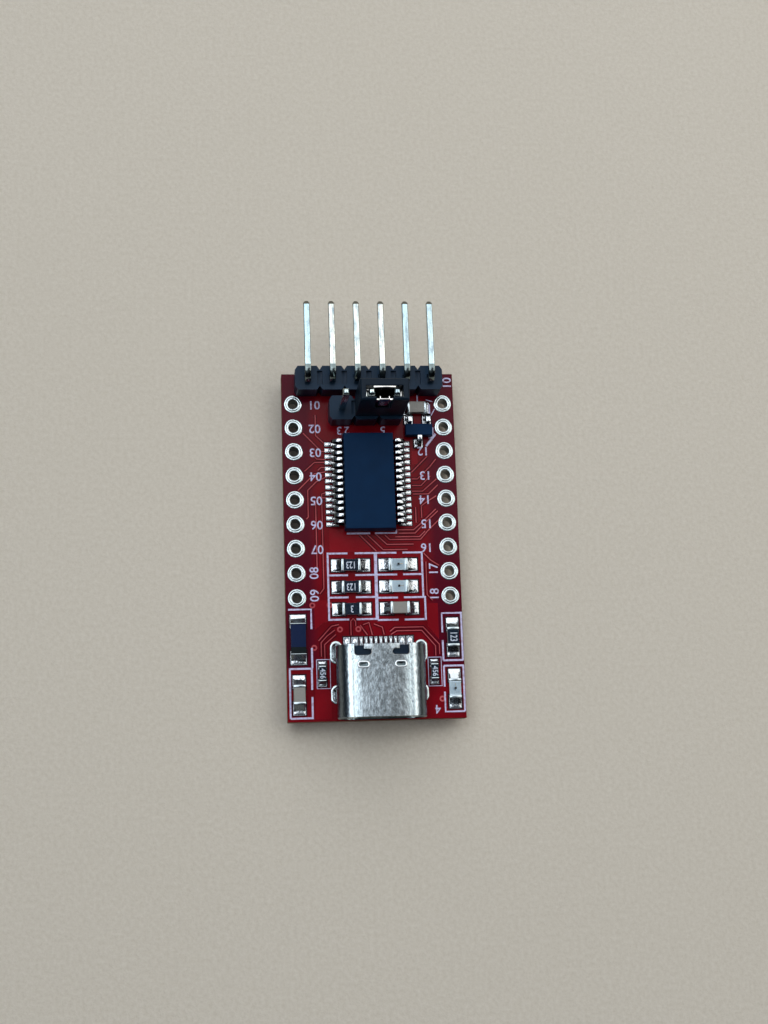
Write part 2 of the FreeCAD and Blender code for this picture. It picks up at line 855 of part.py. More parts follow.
def small_transistor():
    x, y = s.transistor_x, transistor_y
    moulded("small_transistor_body", x, y, s.transistor_length, s.transistor_width,
            s.chip_stand, s.transistor_part_line, s.transistor_top, s.mould_draft)
    rows = []
    for turn, count in ((90, 2), (270, 1)):
        rows.append(lead_row(x, y, turn, s.transistor_width / 2, s.transistor_span, s.transistor_part_line,
                             s.transistor_shoulder, s.transistor_foot, s.transistor_lead_width,
                             s.transistor_lead_thick, s.transistor_pitch, as_size(count)))
    group("small_transistor_leads", rows)


serial_chip()
small_transistor()


# Chip resistors, capacitors, lamps and the fuse

def standard_chip(x, y, high, upright=False, reach=s.joint_reach):
    return Chip(x, y, s.chip_size, s.chip_across, high, s.band, reach, upright)


def small_chip(x):
    y = near_edge + s.small_from_near
    return Chip(x, y, s.small_size, s.small_across, s.resistor_high, s.small_band, s.small_reach, True)


left_x, right_x = s.left_column_inset - s.board_width / 2, s.board_width / 2 - s.right_column_inset
grid_rows = [near_edge + s.grid_from_near - s.grid_pitch * i for i in range(3)]
fuse_chip = Chip(left_x, near_edge + s.fuse_from_near, s.fuse_size, s.fuse_across, s.fuse_high,
                 s.fuse_band, s.fuse_reach, True)
ceramics = {
    "upper_capacitor": standard_chip(s.upper_capacitor_x, far_edge - s.upper_capacitor_from_far,
                                     s.capacitor_high, reach=s.upper_reach),
    "grid_resistor_1": standard_chip(s.grid_left_x, grid_rows[0], s.resistor_high),
    "grid_resistor_2": standard_chip(s.grid_left_x, grid_rows[1], s.resistor_high),
    "grid_resistor_3": standard_chip(s.grid_left_x, grid_rows[2], s.resistor_high),
    "grid_capacitor": standard_chip(s.grid_right_x, grid_rows[2], s.capacitor_high),
    "fuse": fuse_chip,
    "left_capacitor": standard_chip(left_x, near_edge + s.left_capacitor_from_near, s.capacitor_high, True),
    "right_resistor": standard_chip(right_x, near_edge + s.right_resistor_from_near, s.resistor_high, True),
    "left_small_resistor": small_chip(s.port_x - s.port_width / 2 - s.small_left_gap),
    "right_small_resistor": small_chip(s.port_x + s.port_width / 2 + s.small_right_gap),
}
lamps = {
    "grid_lamp_1": standard_chip(s.grid_right_x, grid_rows[0], s.lamp_base_high),
    "grid_lamp_2": standard_chip(s.grid_right_x, grid_rows[1], s.lamp_base_high),
    "right_lamp": standard_chip(right_x, near_edge + s.right_lamp_from_near, s.lamp_base_high, True),
}


def lamp_lens(label, chip):
    """A clear block on the lamp's base, narrowing upwards at both ends."""
    body = new_body("lens", chip.x, chip.y, chip.seat + chip.high - s.plate)
    outline = new_sketch(body, "XY_Plane")
    across, along = s.lamp_lens_length, chip.wide - s.plate * 2
    if chip.upright:
        across, along = along, across
    rectangle(outline, 0, 0, across, along)
    pad(body, outline, s.lamp_lens_high + s.plate, draft=s.lamp_draft)
    keep(body, label)


for name, chip in ceramics.items():
    ceramic(name + "_body", chip)
    terminals(name + "_ends", chip)
for name, chip in lamps.items():
    ceramic(name + "_base", chip)
    terminals(name + "_ends", chip)
    lamp_lens(name + "_lens", chip)
chips = list(ceramics.values()) + list(lamps.values())
group("chip_solder", [solder_ends(chip) for chip in chips])


# Reversible port: a drawn shell with four legs, a black insulator with its tongue, and contacts

port_middle = s.port_high / 2


def port_shell():
    body = new_body("shell", s.port_x, port_y, board_top)
    section = new_sketch(body, "XZ_Plane")
    inner_wide, inner_high = s.port_width - s.shell_wall * 2, s.port_high - s.shell_wall * 2
    round_ended(section, 0, port_middle, s.port_width, s.port_high)
    round_ended(section, 0, port_middle, inner_wide, inner_high)
    tube = pad(body, section, s.port_length, backwards=True)
    doc.recompute()
    mouth = []
    for name in flat_edges(tube, "Y", as_size(0)):
        box = tube.Shape.Edges[int(name[4:]) - 1].BoundBox
        if box.ZMin < 1e-5 or box.ZMax > s.port_high.number - 1e-5:
            mouth.append(name)
    lip = chamfer(body, tube, mouth, s.lip_bevel)
    doc.recompute()
    side = new_sketch(body, "YZ_Plane", s.port_width / 2 - s.shell_wall)
    end = -s.board_thick - s.leg_drop
    tip, low = s.leg_tip_width / 2, end + s.leg_point
    for y, width in legs:
        half = width / 2
        polygon(side, [(y - half, port_middle), (y + half, port_middle), (y + half, low),
                       (y + tip, end), (y - tip, end), (y - half, low)])
    leg = pad(body, side, s.shell_wall)
    mirrored(body, [leg], "YZ_Plane")
    doc.recompute()
    rear = s.port_length
    cut = new_sketch(body, "XY_Plane", s.port_high)
    tab = new_sketch(body, "XY_Plane", s.port_high)
    dimple = new_sketch(body, "XY_Plane", s.port_high)
    for turn in (-1, 1):
        near, step, far = s.cutout_near * turn, s.cutout_step * turn, s.cutout_far * turn
        deep, foot = rear - s.cutout_deep, rear - s.cutout_deep + s.cutout_foot
        first = polygon(cut, [(step, rear), (step, foot), (near, foot),
                              (near, deep), (far, deep), (far, rear)])
        for edge in (1, 2, 3):
            round_corner(cut, first + edge, s.cutout_round)
        polygon(tab, [(s.tab_near * turn, rear), (near, deep + s.cutout_round), (near, foot),
                      (step, foot), (step, rear)])
        round_ended(dimple, s.dimple_x * turn, rear - s.dimple_y, s.dimple_length, s.dimple_width)
    pocket(body, cut, s.port_high / 2)
    pocket(body, tab, s.tab_sink)
    pocket(body, dimple, s.tab_sink)
    notch = new_sketch(body, "XY_Plane", s.foot_high + s.block_gap)
    rectangle(notch, 0, rear - s.foot_length / 2, foot_width + s.block_gap * 2, s.foot_length)
    body.Tip = pocket(body, notch)
    keep(body, "port_shell")


def port_insulator():
    """The black block in the rear of the shell, with its foot, stepped down to the tongue in the mouth."""
    body = new_body("insulator", s.port_x, port_y, board_top)
    inset, rear = (s.shell_wall + s.block_gap) * 2, s.port_length - s.block_setback
    section = new_sketch(body, "XZ_Plane", -s.block_front)
    round_ended(section, 0, port_middle, s.port_width - inset, s.port_high - inset)
    pad(body, section, rear - s.block_front, backwards=True)
    root_front, foot_front = s.block_front - s.root_length, s.port_length - s.foot_length + s.block_gap
    foot_high = s.foot_high - s.pad_thick
    for front, back, wide, middle, high in (
            (root_front, s.block_front, s.root_width, port_middle, s.root_thick),
            (s.tongue_setback, root_front, s.tongue_width, port_middle, s.tongue_thick),
            (foot_front, rear, foot_width, s.pad_thick + foot_high / 2, foot_high)):
        section = new_sketch(body, "XZ_Plane", -front)
        rectangle(section, 0, middle, wide, high)
        pad(body, section, back - front, backwards=True)
        doc.recompute()
    keep(body, "port_insulator")


def port_contacts():
    """Contact fingers on both faces of the tongue, and the tails soldered behind the port."""
    strips = []
    finger_y = port_y + s.tongue_setback + s.finger_thick + s.finger_length / 2
    face = s.tongue_thick / 2
    for step in (-5.5, -2.5, -1.5, -0.5, 0.5, 1.5, 2.5, 5.5):
        x = s.port_x + s.tail_pitch * step
        for level in (face, -face - s.finger_thick):
            strips.append(block(x, finger_y, board_top + port_middle + level,
                                s.finger_width, s.finger_length, s.finger_thick))
    long = s.tail_reach + s.block_setback
    tail_y = port_y + s.port_length + (s.tail_reach - s.block_setback) / 2
    for x, width in tail_places():
        strips.append(block(x, tail_y, board_top + s.pad_thick, width, long, s.tail_thick))
    group("port_contacts", strips)


def tail_places():
    """X and width of each tail behind the port."""
    offsets = [(s.tail_pitch * (i + 0.5), s.tail_narrow) for i in range(4)]
    offsets += [(wide_tail_x - s.tail_wide_step, s.tail_wide), (wide_tail_x, s.tail_wide)]
    return [(s.port_x + x * side, width) for side in (-1, 1) for x, width in offsets]


def port_leg_solder():
    body = new_body("leg_solder", 0, as_size(0), board_low - s.pad_thick)
    outline = new_sketch(body, "XY_Plane")
    rim = s.leg_solder_rim * 2
    for x, y, width in leg_spots():
        rectangle(outline, x, y, s.shell_wall, width)
        flat_ended(outline, x, y, width + s.slot_play + rim, s.slot_width + rim)
    pad(body, outline, s.leg_drop - s.leg_point - s.pad_thick, backwards=True)
    keep(body, "port_leg_solder")


port_shell()
port_insulator()
port_contacts()
port_leg_solder()


# Copper pads on the board's upper face

def surface_pads():
    plates = [plate for chip in chips for plate in lands(chip)]
    long = s.lead_foot + s.lead_pad_inset + s.lead_pad_reach
    middle = s.lead_span / 2 - s.lead_foot - s.lead_pad_inset + long / 2
    row = new_body("lead_pads", s.chip_x, chip_y, board_top)
    outline = new_sketch(row, "XY_Plane")
    for side in (-1, 1):
        rectangle(outline, middle * side, -s.lead_pitch * (s.lead_count - 1) / 2, long, s.lead_pad_width)
    row_of(row, [pad(row, outline, s.pad_thick)], "Y_Axis", s.lead_pitch, s.lead_count)
    plates.append(row)
    pad_y = s.transistor_span / 2
    for x, y in ((-s.transistor_pitch / 2, pad_y), (s.transistor_pitch / 2, pad_y), (as_size(0), -pad_y)):
        plates.append(block(s.transistor_x + x, transistor_y + y, board_top,
                            s.transistor_pad, s.transistor_pad, s.pad_thick))
    tail_y = port_y + s.port_length + s.tail_reach / 2
    for x, width in tail_places():
        plates.append(block(x, tail_y, board_top, width + s.port_pad_margin,
                            s.tail_reach + s.port_pad_margin, s.pad_thick))
    group("surface_pads", plates)


surface_pads()


# Check every object, then write one file for each piece

def check_and_write():
    doc.recompute()
    for item in doc.Objects:
        if "Invalid" in item.State or "Error" in item.State:
            raise SystemExit("%s of %s failed: %s" % (item.Name, item.Label, item.State))
    os.makedirs("parts", exist_ok=True)
    for item in pieces:
        if item.Shape.isNull() or not item.Shape.isValid() or not item.Shape.Solids:
            raise SystemExit("%s is not a valid solid" % item.Label)
    for item in pieces:
        item.Shape.exportStep("parts/%s.step" % item.Label)
        print("%-28s %2d solids %10.4f mm3" % (item.Label, len(item.Shape.Solids), item.Shape.Volume))
    print("%d pieces" % len(pieces))


check_and_write()
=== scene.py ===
import bmesh
import bpy
import json
import math
from mathutils import Matrix, Vector
from random import Random


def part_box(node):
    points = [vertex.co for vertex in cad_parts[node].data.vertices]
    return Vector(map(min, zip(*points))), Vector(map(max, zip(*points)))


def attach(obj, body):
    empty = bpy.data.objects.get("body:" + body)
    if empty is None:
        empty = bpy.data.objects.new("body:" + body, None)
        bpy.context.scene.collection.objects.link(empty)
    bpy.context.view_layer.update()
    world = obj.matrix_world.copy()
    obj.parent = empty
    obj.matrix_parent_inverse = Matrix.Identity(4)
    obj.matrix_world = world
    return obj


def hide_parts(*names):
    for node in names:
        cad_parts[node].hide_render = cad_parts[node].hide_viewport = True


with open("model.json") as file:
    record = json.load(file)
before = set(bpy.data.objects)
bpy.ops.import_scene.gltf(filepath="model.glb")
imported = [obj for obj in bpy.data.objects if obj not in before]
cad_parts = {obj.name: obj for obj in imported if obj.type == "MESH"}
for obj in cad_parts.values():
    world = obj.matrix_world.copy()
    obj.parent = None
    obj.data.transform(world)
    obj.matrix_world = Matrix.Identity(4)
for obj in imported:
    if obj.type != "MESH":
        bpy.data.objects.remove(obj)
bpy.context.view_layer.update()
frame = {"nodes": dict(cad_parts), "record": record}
nodes = frame["nodes"]


# The circuit board is 1.6 mm glass-fibre laminate, coated on both faces with glossy red solder
# mask over its copper. It is routed out of a panel, so the pale laminate shows on its four edges.

mm = 0.001
same_point = 1e-7
cad_slack = 2e-6


class Value:
    """A number, vector or colour in a node tree; arithmetic on it adds Math nodes."""

    def __init__(self, graph, socket):
        self.graph, self.socket = graph, socket

    def math(self, operation, *others):
        values = dict(enumerate((self,) + others))
        return self.graph.node("ShaderNodeMath", {"operation": operation}, values)

    def __add__(self, other):
        return self.math("ADD", other)

    def __sub__(self, other):
        return self.math("SUBTRACT", other)

    def __rsub__(self, other):
        return (self * -1) + other

    def __mul__(self, other):
        return self.math("MULTIPLY", other)

    def __lt__(self, other):
        return self.math("LESS_THAN", other)

    def __gt__(self, other):
        return self.math("GREATER_THAN", other)

    def __abs__(self):
        return self.math("ABSOLUTE")

    def part(self, name):
        """Another output of the same node."""
        return Value(self.graph, self.socket.node.outputs[name])

    __radd__ = __add__
    __rmul__ = __mul__


class Graph:
    """A node tree that is written as expressions."""

    def node(self, kind, settings=(), values=(), output=0):
        """Add a node: its settings first, then the values or links of its sockets."""
        node = self.tree.nodes.new(kind)
        for name, setting in dict(settings).items():
            setattr(node, name, setting)
        for name, value in dict(values).items():
            self.put(node.inputs[name], value)
        return Value(self, node.outputs[output])

    def put(self, socket, value):
        if isinstance(value, Value):
            self.tree.links.new(value.socket, socket)
        else:
            socket.default_value = value

    def ramp(self, value, stops):
        """Grey or colour stops over a value from 0 to 1."""
        full = [(at, (c, c, c, 1) if isinstance(c, float) else c + (1,)) for at, c in stops]
        made = self.node("ShaderNodeValToRGB", (), {0: value})
        marks = made.socket.node.color_ramp.elements
        marks[0].position, marks[0].color = full[0]
        marks[1].position, marks[1].color = full[-1]
        for at, colour in full[1:-1]:
            marks.new(at).color = colour
        return made

    def mix(self, share, first, second):
        first, second = (c if isinstance(c, Value) else c + (1,) for c in (first, second))
        return self.node("ShaderNodeMix", {"data_type": "RGBA"}, {0: share, 6: first, 7: second}, 2)

    def soft_step(self, value, start, stop):
        """From 0 at one value to 1 at another."""
        return self.node("ShaderNodeMapRange", {"interpolation_type": "SMOOTHSTEP"},
                         {"Value": value, "From Min": start, "From Max": stop})

    def split(self, vector, axis):
        """One axis of a vector; part() gives the others."""
        return self.node("ShaderNodeSeparateXYZ", (), {0: vector}, axis)

    def seen(self):
        """1 for what is looked at, straight or in metal or through glass, and 0 for light's own path."""
        camera = self.node("ShaderNodeLightPath", output="Is Camera Ray")
        looks = camera + camera.part("Is Glossy Ray") + camera.part("Is Transmission Ray")
        return looks.math("MINIMUM", 1.0)


class Finish(Graph):
    """A named surface; its sockets are those of the principled shader."""

    def __init__(self, name, **sockets):
        self.material = bpy.data.materials.new(name)
        self.material.use_nodes = True
        self.tree = self.material.node_tree
        self.shader = self.tree.nodes["Principled BSDF"]
        self.set(**sockets)

    def set(self, **sockets):
        for name, value in sockets.items():
            self.put(self.shader.inputs[name.replace("_", " ")], value)

    def place(self, stretch=(1.0, 1.0, 1.0)):
        """Where a point lies on the object, in millimetres, stretched along each axis."""
        spot = self.node("ShaderNodeTexCoord", output="Object")
        scale = [amount / mm for amount in stretch]
        return self.node("ShaderNodeVectorMath", {"operation": "MULTIPLY"}, {0: spot, 1: scale})

    def spot(self, axis):
        return self.split(self.place(), axis)

    def facing(self, axis="Z"):
        """How far the surface faces along an axis: upwards, 1 on top, 0 at the sides and -1 below."""
        return self.split(self.node("ShaderNodeTexCoord", output="Normal"), axis)

    def noise(self, scale, detail=2.0, rough=0.5, stretch=(1.0, 1.0, 1.0)):
        """Soft random variation from 0 to 1, with this many features to the millimetre."""
        sockets = {"Vector": self.place(stretch), "Scale": scale, "Detail": detail, "Roughness": rough}
        return self.node("ShaderNodeTexNoise", (), sockets)

    def gloss(self, value, low, high, until=0.7):
        """Roughness that follows a value from 0.3 to until."""
        self.set(Roughness=self.ramp(value, ((0.3, low), (until, high))))

    def done(self, colour, relief, depth_mm):
        """Set the colour and a relief of this depth; gives the material."""
        sockets = {"Height": relief, "Distance": depth_mm * mm, "Strength": 1.0}
        self.set(Base_Color=colour, Normal=self.node("ShaderNodeBump", (), sockets))
        return self.material


def red(name, dark, light, beside=None):
    """Solder mask over laminate or copper, with painted shade beside the hole rows; cut laminate is pale."""
    finish = Finish(name, IOR=1.5, Specular_IOR_Level=0.1)
    mottle = finish.ramp(finish.noise(0.28, 3.0), ((0.35, 0.0), (0.7, 1.0)))
    mask = finish.mix(mottle, dark, light)
    if beside is not None:
        # Painted shade: the mask beside the hole rows, down to the port's end, is mixed to a darker colour.
        mask_shade_from, mask_shade_to, port_end_y = 5.3, 6.7, -16.0
        across = finish.spot("X")
        mask_shade_share = finish.soft_step(abs(across), mask_shade_from, mask_shade_to)
        mask = finish.mix(mask_shade_share * (across.part("Y") > port_end_y), mask, beside)
    fibre = finish.noise(1.0, 3.0, 0.6, (2.0, 2.0, 9.0))
    laminate = finish.mix(fibre, (0.17, 0.09, 0.055), (0.31, 0.2, 0.125))
    side = abs(finish.facing()) < 0.3
    finish.set(Roughness=side * 0.5 + 0.16)
    cloth = finish.node("ShaderNodeTexChecker", (), {"Vector": finish.place(), "Scale": 1.0})
    ripple = finish.noise(0.9, 2.0) + cloth.part("Fac") * 0.05
    return finish.done(finish.mix(side, mask, laminate), ripple, 0.006)


def held(name, data):
    """An object of its own for a mesh, text, lamp or camera."""
    holder = bpy.data.objects.new(name, data)
    bpy.context.scene.collection.objects.link(holder)
    return holder


def made_plain(holder, stays=False):
    """The plain mesh that an object's modifiers or its text come to; the object goes unless it stays."""
    bpy.context.view_layer.update()
    mesh = bpy.data.meshes.new_from_object(holder.evaluated_get(bpy.context.evaluated_depsgraph_get()))
    if not stays:
        bpy.data.objects.remove(holder)
    return mesh


def opened(mesh):
    """A mesh's faces, ready to be built on."""
    bm = bmesh.new()
    bm.from_mesh(mesh)
    return bm


def as_mesh(bm, merge=0.0, mesh=None):
    """Built-up faces as a mesh; where their doubles are merged, they also point outwards."""
    if merge:
        bmesh.ops.remove_doubles(bm, verts=bm.verts, dist=merge)
        bmesh.ops.recalc_face_normals(bm, faces=bm.faces)
    mesh = mesh or bpy.data.meshes.new("faces")
    bm.to_mesh(mesh)
    bm.free()
    return mesh


def paint(mesh, material):
    mesh.materials.clear()
    mesh.materials.append(material)


def finished(name, mesh, material, slot, stands_for=None, body="module", smooth_degrees=35):
    """Put a mesh in the scene as a piece of one body, smooth where its faces nearly agree."""
    if material is not None:
        paint(mesh, material)
    mesh.shade_smooth()
    mesh.set_sharp_from_angle(angle=math.radians(smooth_degrees))
    piece = held(name, mesh)
    weighted = piece.modifiers.new("flat faces stay flat", "WEIGHTED_NORMAL")
    weighted.weight, weighted.keep_sharp = 100, True
    shaded = made_plain(piece, stays=True)
    piece.modifiers.clear()
    piece.data, shaded.name = shaded, name
    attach(piece, body)
    if stands_for:
        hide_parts(stands_for)


def plain(name, bm, *rest):
    """A finished piece from built-up faces, with its doubles merged and its faces outwards."""
    finished(name, as_mesh(bm, same_point), *rest)


def merged(node):
    """A CAD solid's surface as joined faces, with the flat ones run together."""
    bm = opened(nodes[node].data)
    bmesh.ops.remove_doubles(bm, verts=bm.verts, dist=cad_slack)
    bmesh.ops.dissolve_limit(bm, angle_limit=math.radians(0.5), verts=bm.verts, edges=bm.edges)
    return bm


def ease_edges(bm, edges, width, segments):
    """Round some edges by a width in millimetres."""
    bmesh.ops.bevel(bm, geom=edges, offset=width * mm, segments=segments, profile=0.5,
                    affect="EDGES", clamp_overlap=True)


def eased(node, material, width, segments=2, body="module", keep=None, smooth_degrees=40, shaped=None):
    """A stand-in for a CAD solid, with its sharp edges rounded as the real one's are."""
    bm = merged(node)
    sharp = math.radians(28)
    edges = [e for e in bm.edges if len(e.link_faces) == 2 and e.calc_face_angle(0.0) > sharp]
    ease_edges(bm, [e for e in edges if keep is None or keep(e)], width, segments)
    if shaped:
        bm = shaped(bm)
    slot = next(entry["material_slot"] for entry in frame["record"]["subparts"] if entry["node"] == node)
    plain(node + "_eased", bm, material, slot, node, body, smooth_degrees)


board_low, board_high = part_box("circuit_board")
board_top, board_under = board_high.z, board_low.z
# The third colour is the painted shade beside the hole rows.
mask_finish = red("red_mask", (0.15, 0.0015, 0.006), (0.225, 0.0025, 0.009), (0.095, 0.0015, 0.012))


def on_outline(edge):
    """True for an edge on the board's own outline, and not round a hole."""
    middle = (edge.verts[0].co + edge.verts[1].co) / 2
    near = min(board_high.x - abs(middle.x), board_high.y - middle.y, middle.y - board_low.y)
    return near < 1e-6


eased("circuit_board", mask_finish, 0.06, keep=on_outline)


# The copper is etched into tracks, a poured sheet and small plated holes before the board is
# coated, so each shows as a slightly raised, brighter red line or field under the mask. The tracks
# and holes are painted pinker and lighter still, as a highlight.

rows_middle_y = 1.24


def shifted(*spots):
    """Points given as x, y, x, y and so on from the middle of the hole rows, in metres on the board."""
    return [Vector((x * mm, (y + rows_middle_y) * mm, 0)) for x, y in zip(spots[::2], spots[1::2])]


class Steps(Graph):
    """A geometry tree with named inputs, which is run once to give a plain mesh."""

    def __init__(self, name, **inputs):
        self.tree = bpy.data.node_groups.new(name, "GeometryNodeTree")
        for way in ("INPUT", "OUTPUT"):
            self.tree.interface.new_socket("Geometry", in_out=way, socket_type="NodeSocketGeometry")
        start, self.end = (self.tree.nodes.new("NodeGroup" + way) for way in ("Input", "Output"))
        self.settings = {}
        for label, value in inputs.items():
            kind = {int: "Int", float: "Float", tuple: "Vector"}.get(type(value), "Material")
            entry = self.tree.interface.new_socket(label, in_out="INPUT", socket_type="NodeSocket" + kind)
            self.settings[entry.identifier] = value
            setattr(self, label, Value(self, start.outputs[label]))
        self.given = Value(self, start.outputs["Geometry"])

    def run(self, result, mesh):
        """Close the tree on a result, run it on a mesh and return what it makes."""
        whole = self.node("GeometryNodeRealizeInstances", (), {0: result})
        painted = self.node("GeometryNodeSetMaterial", (), {"Geometry": whole, "Material": self.material})
        self.put(self.end.inputs[0], painted)
        holder = held("holder", mesh)
        modifier = holder.modifiers.new("steps", "NODES")
        modifier.node_group = self.tree
        for identifier, value in self.settings.items():
            modifier[identifier] = value
        made = made_plain(holder)
        return as_mesh(opened(made), same_point, made)


def crossing_rise(number):
    """A tiny height of its own for each of several sheets, so that their crossings stay clean."""
    return number % 31 * 0.0004 * mm


def lines_mesh(lines, level):
    """Open runs of points as edges."""
    mesh = bpy.data.meshes.new("lines")
    points, edges = [], []
    for number, line in enumerate(lines):
        edges += [(len(points) + i, len(points) + i + 1) for i in range(len(line) - 1)]
        points += [(p.x, p.y, level + crossing_rise(number)) for p in line]
    mesh.from_pydata(points, edges, [])
    return mesh


def strips(name, lines, level, width, high, slope, material, slot="solder_mask"):
    """Flat strips with sloping sides that follow runs of points over a face of the board."""
    sunk = 0.01 if slope > 0 else 0.0
    steps = Steps(name, width=width * mm, high=(high + sunk) * mm, crown=(width - slope) * mm,
                  material=material)
    path = steps.node("GeometryNodeMeshToCurve", (), {0: steps.given})
    level_path = steps.node("GeometryNodeSetCurveNormal", {"mode": "Z_UP"}, {0: path})
    outline = steps.node("GeometryNodeCurvePrimitiveQuadrilateral", {"mode": "TRAPEZOID"},
                         {"Height": steps.high, "Bottom Width": steps.crown,
                          "Top Width": steps.width, "Offset": 0.0})
    swept = steps.node("GeometryNodeCurveToMesh", (),
                       {"Curve": level_path, "Profile Curve": outline, "Fill Caps": True})
    mesh = steps.run(swept, lines_mesh(lines, level + (high - sunk) / 2 * mm))
    finished(name, mesh, None, slot)


track_lines = [shifted(*line) for line in (
    (-5.56, 9.0, -5.56, 6.8, -4.56, 5.8), (-6.85, 7.05, -5.0, 5.1, -4.5, 5.1),
    (-5.9, 4.75, -5.5, 4.3, -4.56, 4.25), (-6.8, 3.0, -5.75, 3.94, -4.56, 3.94),
    (-5.4, 3.1, -5.1, 3.4, -4.56, 3.4), (-7.5, 1.0, -6.4, 2.1, -5.75, 2.75, -4.56, 2.95),
    (-6.7, -2.0, -6.5, -1.8, -6.5, 1.0, -5.6, 1.9, -4.56, 2.4),
    (-5.72, -7.5, -5.72, -0.3, -5.2, 0.2, -4.56, 0.2),
    (-5.5, -9.75, -5.08, -9.2, -5.08, 0.6, -4.56, 0.78), (-1.3, -3.7, 0.4, -5.45),
    (-0.5, -3.7, 1.1, -5.3, 3.6, -5.3), (0.2, -3.5, 1.5, -4.75, 4.25, -4.75),
    (1.3, -3.75, 1.8, -4.25, 5.0, -4.25, 5.75, -3.4, 7.0, -2.2),
    (2.7, -3.25, 4.3, -3.25, 4.9, -2.75, 6.7, -1.1), (2.75, -3.6, 4.45, -3.6, 5.25, -2.8, 6.9, -1.3),
    (2.4, -3.97, 4.9, -3.97, 5.5, -3.4), (4.3, 2.8, 5.0, 3.5, 6.0, 4.5),
    (4.3, 2.1, 4.9, 2.1, 6.25, 3.4, 6.9, 4.2), (4.3, 1.4, 5.25, 1.4, 6.25, 2.4),
    (4.3, 0.8, 5.4, 0.8, 6.9, 2.1), (4.4, 0.5, 6.0, 0.5, 7.0, 1.45), (4.6, -0.9, 4.6, -2.5),
    (5.2, -2.0, 5.2, -0.75, 5.9, -0.25, 6.8, 0.3), (5.25, -5.7, 5.95, -6.45, 6.8, -7.0),
    (5.45, -6.6, 5.45, -10.0, 6.0, -10.6), (-5.75, -14.5, -4.4, -13.05, -3.65, -12.9),
    (-5.5, -16.1, -5.5, -14.7, -4.9, -14.05, -4.1, -13.45), (-5.15, -16.4, -5.15, -14.9, -4.0, -13.9),
    (-2.45, -14.0, -2.45, -12.6, -2.2, -12.3, -1.95, -12.6, -1.95, -13.1),
    (-1.2, -12.95, -0.6, -12.75, -0.3, -14.0), (-0.1, -12.9, 0.75, -13.25, 0.9, -14.0),
    (-1.5, -13.0, -0.8, -14.0), (1.5, -13.7, 2.0, -13.3, 4.9, -13.3, 6.5, -15.1, 6.5, -16.1),
    (1.6, -14.0, 2.2, -13.65, 4.75, -13.65, 6.1, -15.25, 6.1, -16.25),
)]
# Part real, part painted highlight: the mask over tracks and plated holes is lighter and pinker than over the
# pour.
copper_highlight_finish = red("red_mask_over_copper_painted_highlight", (0.41, 0.058, 0.07), (0.6, 0.125, 0.14))
# Painted shade: a dark line, darker than the bare mask, runs along both sides of every track.
track_shade_finish = red("red_mask_painted_track_shade", (0.06, 0.001, 0.005), (0.11, 0.0015, 0.007))
strips("painted_track_shade", track_lines, board_top, 0.38, 0.014, 0.02, track_shade_finish)
strips("tracks", track_lines, board_top, 0.14, 0.03, 0.06, copper_highlight_finish)

under_lines = [shifted(*line) for line in (
    (-7.27, 9.59, -5.2, 7.5, -5.2, -6.0, -2.0, -9.2, -2.0, -12.0),
    (-7.27, 4.53, -6.3, 3.6, -6.3, -4.0, -3.4, -6.9, -3.4, -12.5),
    (7.27, 7.05, 6.2, 6.0, 6.2, -1.0, 3.4, -3.8, 3.4, -10.0, 1.6, -11.8),
    (7.27, -0.57, 5.2, -2.6, 5.2, -9.0, 2.6, -11.6), (-6.41, 12.29, -4.2, 10.1, -4.2, 3.0),
    (3.75, 12.29, 3.75, 9.0, 1.2, 6.4, 1.2, -3.0),
)]
strips("under_tracks", under_lines, board_under - 0.03 * mm, 0.3, 0.03, -0.07, copper_highlight_finish)


def bridged(bm, loops):
    """Faces between each loop of points and the next."""
    for near, far in zip(loops, loops[1:]):
        for i in range(len(near)):
            j = (i + 1) % len(near)
            bm.faces.new((near[i], near[j], far[j], far[i]))


def slab(bm, outline, low, high):
    """A flat sheet with straight sides through an outline."""
    under, over = ([bm.verts.new((p.x, p.y, level)) for p in outline] for level in (low, high))
    bm.faces.new(over)
    bm.faces.new(list(reversed(under)))
    bridged(bm, (under, over))


pour_finish = red("red_mask_over_pour", (0.215, 0.003, 0.009), (0.275, 0.005, 0.012))
sunk_level = board_top - 0.02 * mm
pours = bmesh.new()
for corners in (
    (-4.4, -3.1, -0.9, -3.1, -0.9, -4.3, -0.2, -5.0, -0.2, -5.45, -4.4, -5.45),
    (4.4, 5.1, 5.0, 5.1, 5.0, 3.7, 4.4, 3.7),
    (-6.1, -10.4, -4.8, -10.4, -4.8, -12.65, -5.2, -12.65, -6.1, -13.4),
    (5.4, -10.9, 6.5, -10.9, 6.5, -14.6, 5.4, -13.2),
    (-6.2, -17.6, -4.6, -19.8, -4.6, -22.3, -6.2, -22.3),
):
    slab(pours, shifted(*corners), sunk_level, board_top + 0.012 * mm)
plain("copper_pours", pours, pour_finish, "solder_mask")

vias = bmesh.new()
turns = [math.pi * i / 12 for i in range(24)]
for middle in shifted(-3.56, -13.4, -1.7, -13.4, -4.55, -10.9, -6.3, -10.9, 6.6, -20.6, -6.2, -15.2):
    middle.z = board_top
    loops = [[vias.verts.new(middle + Vector((r * math.cos(t), r * math.sin(t), z)) * mm) for t in turns]
             for r, z in ((0.14, -0.02), (0.3, -0.02), (0.3, 0.025), (0.14, 0.025))]
    bridged(vias, loops + loops[:1])
plain("small_plated_holes", vias, copper_highlight_finish, "solder_mask")


# White ink is screen-printed over the mask: frames round the chip parts, a line beside each part
# and, in place of words, plain numbers that count the holes.

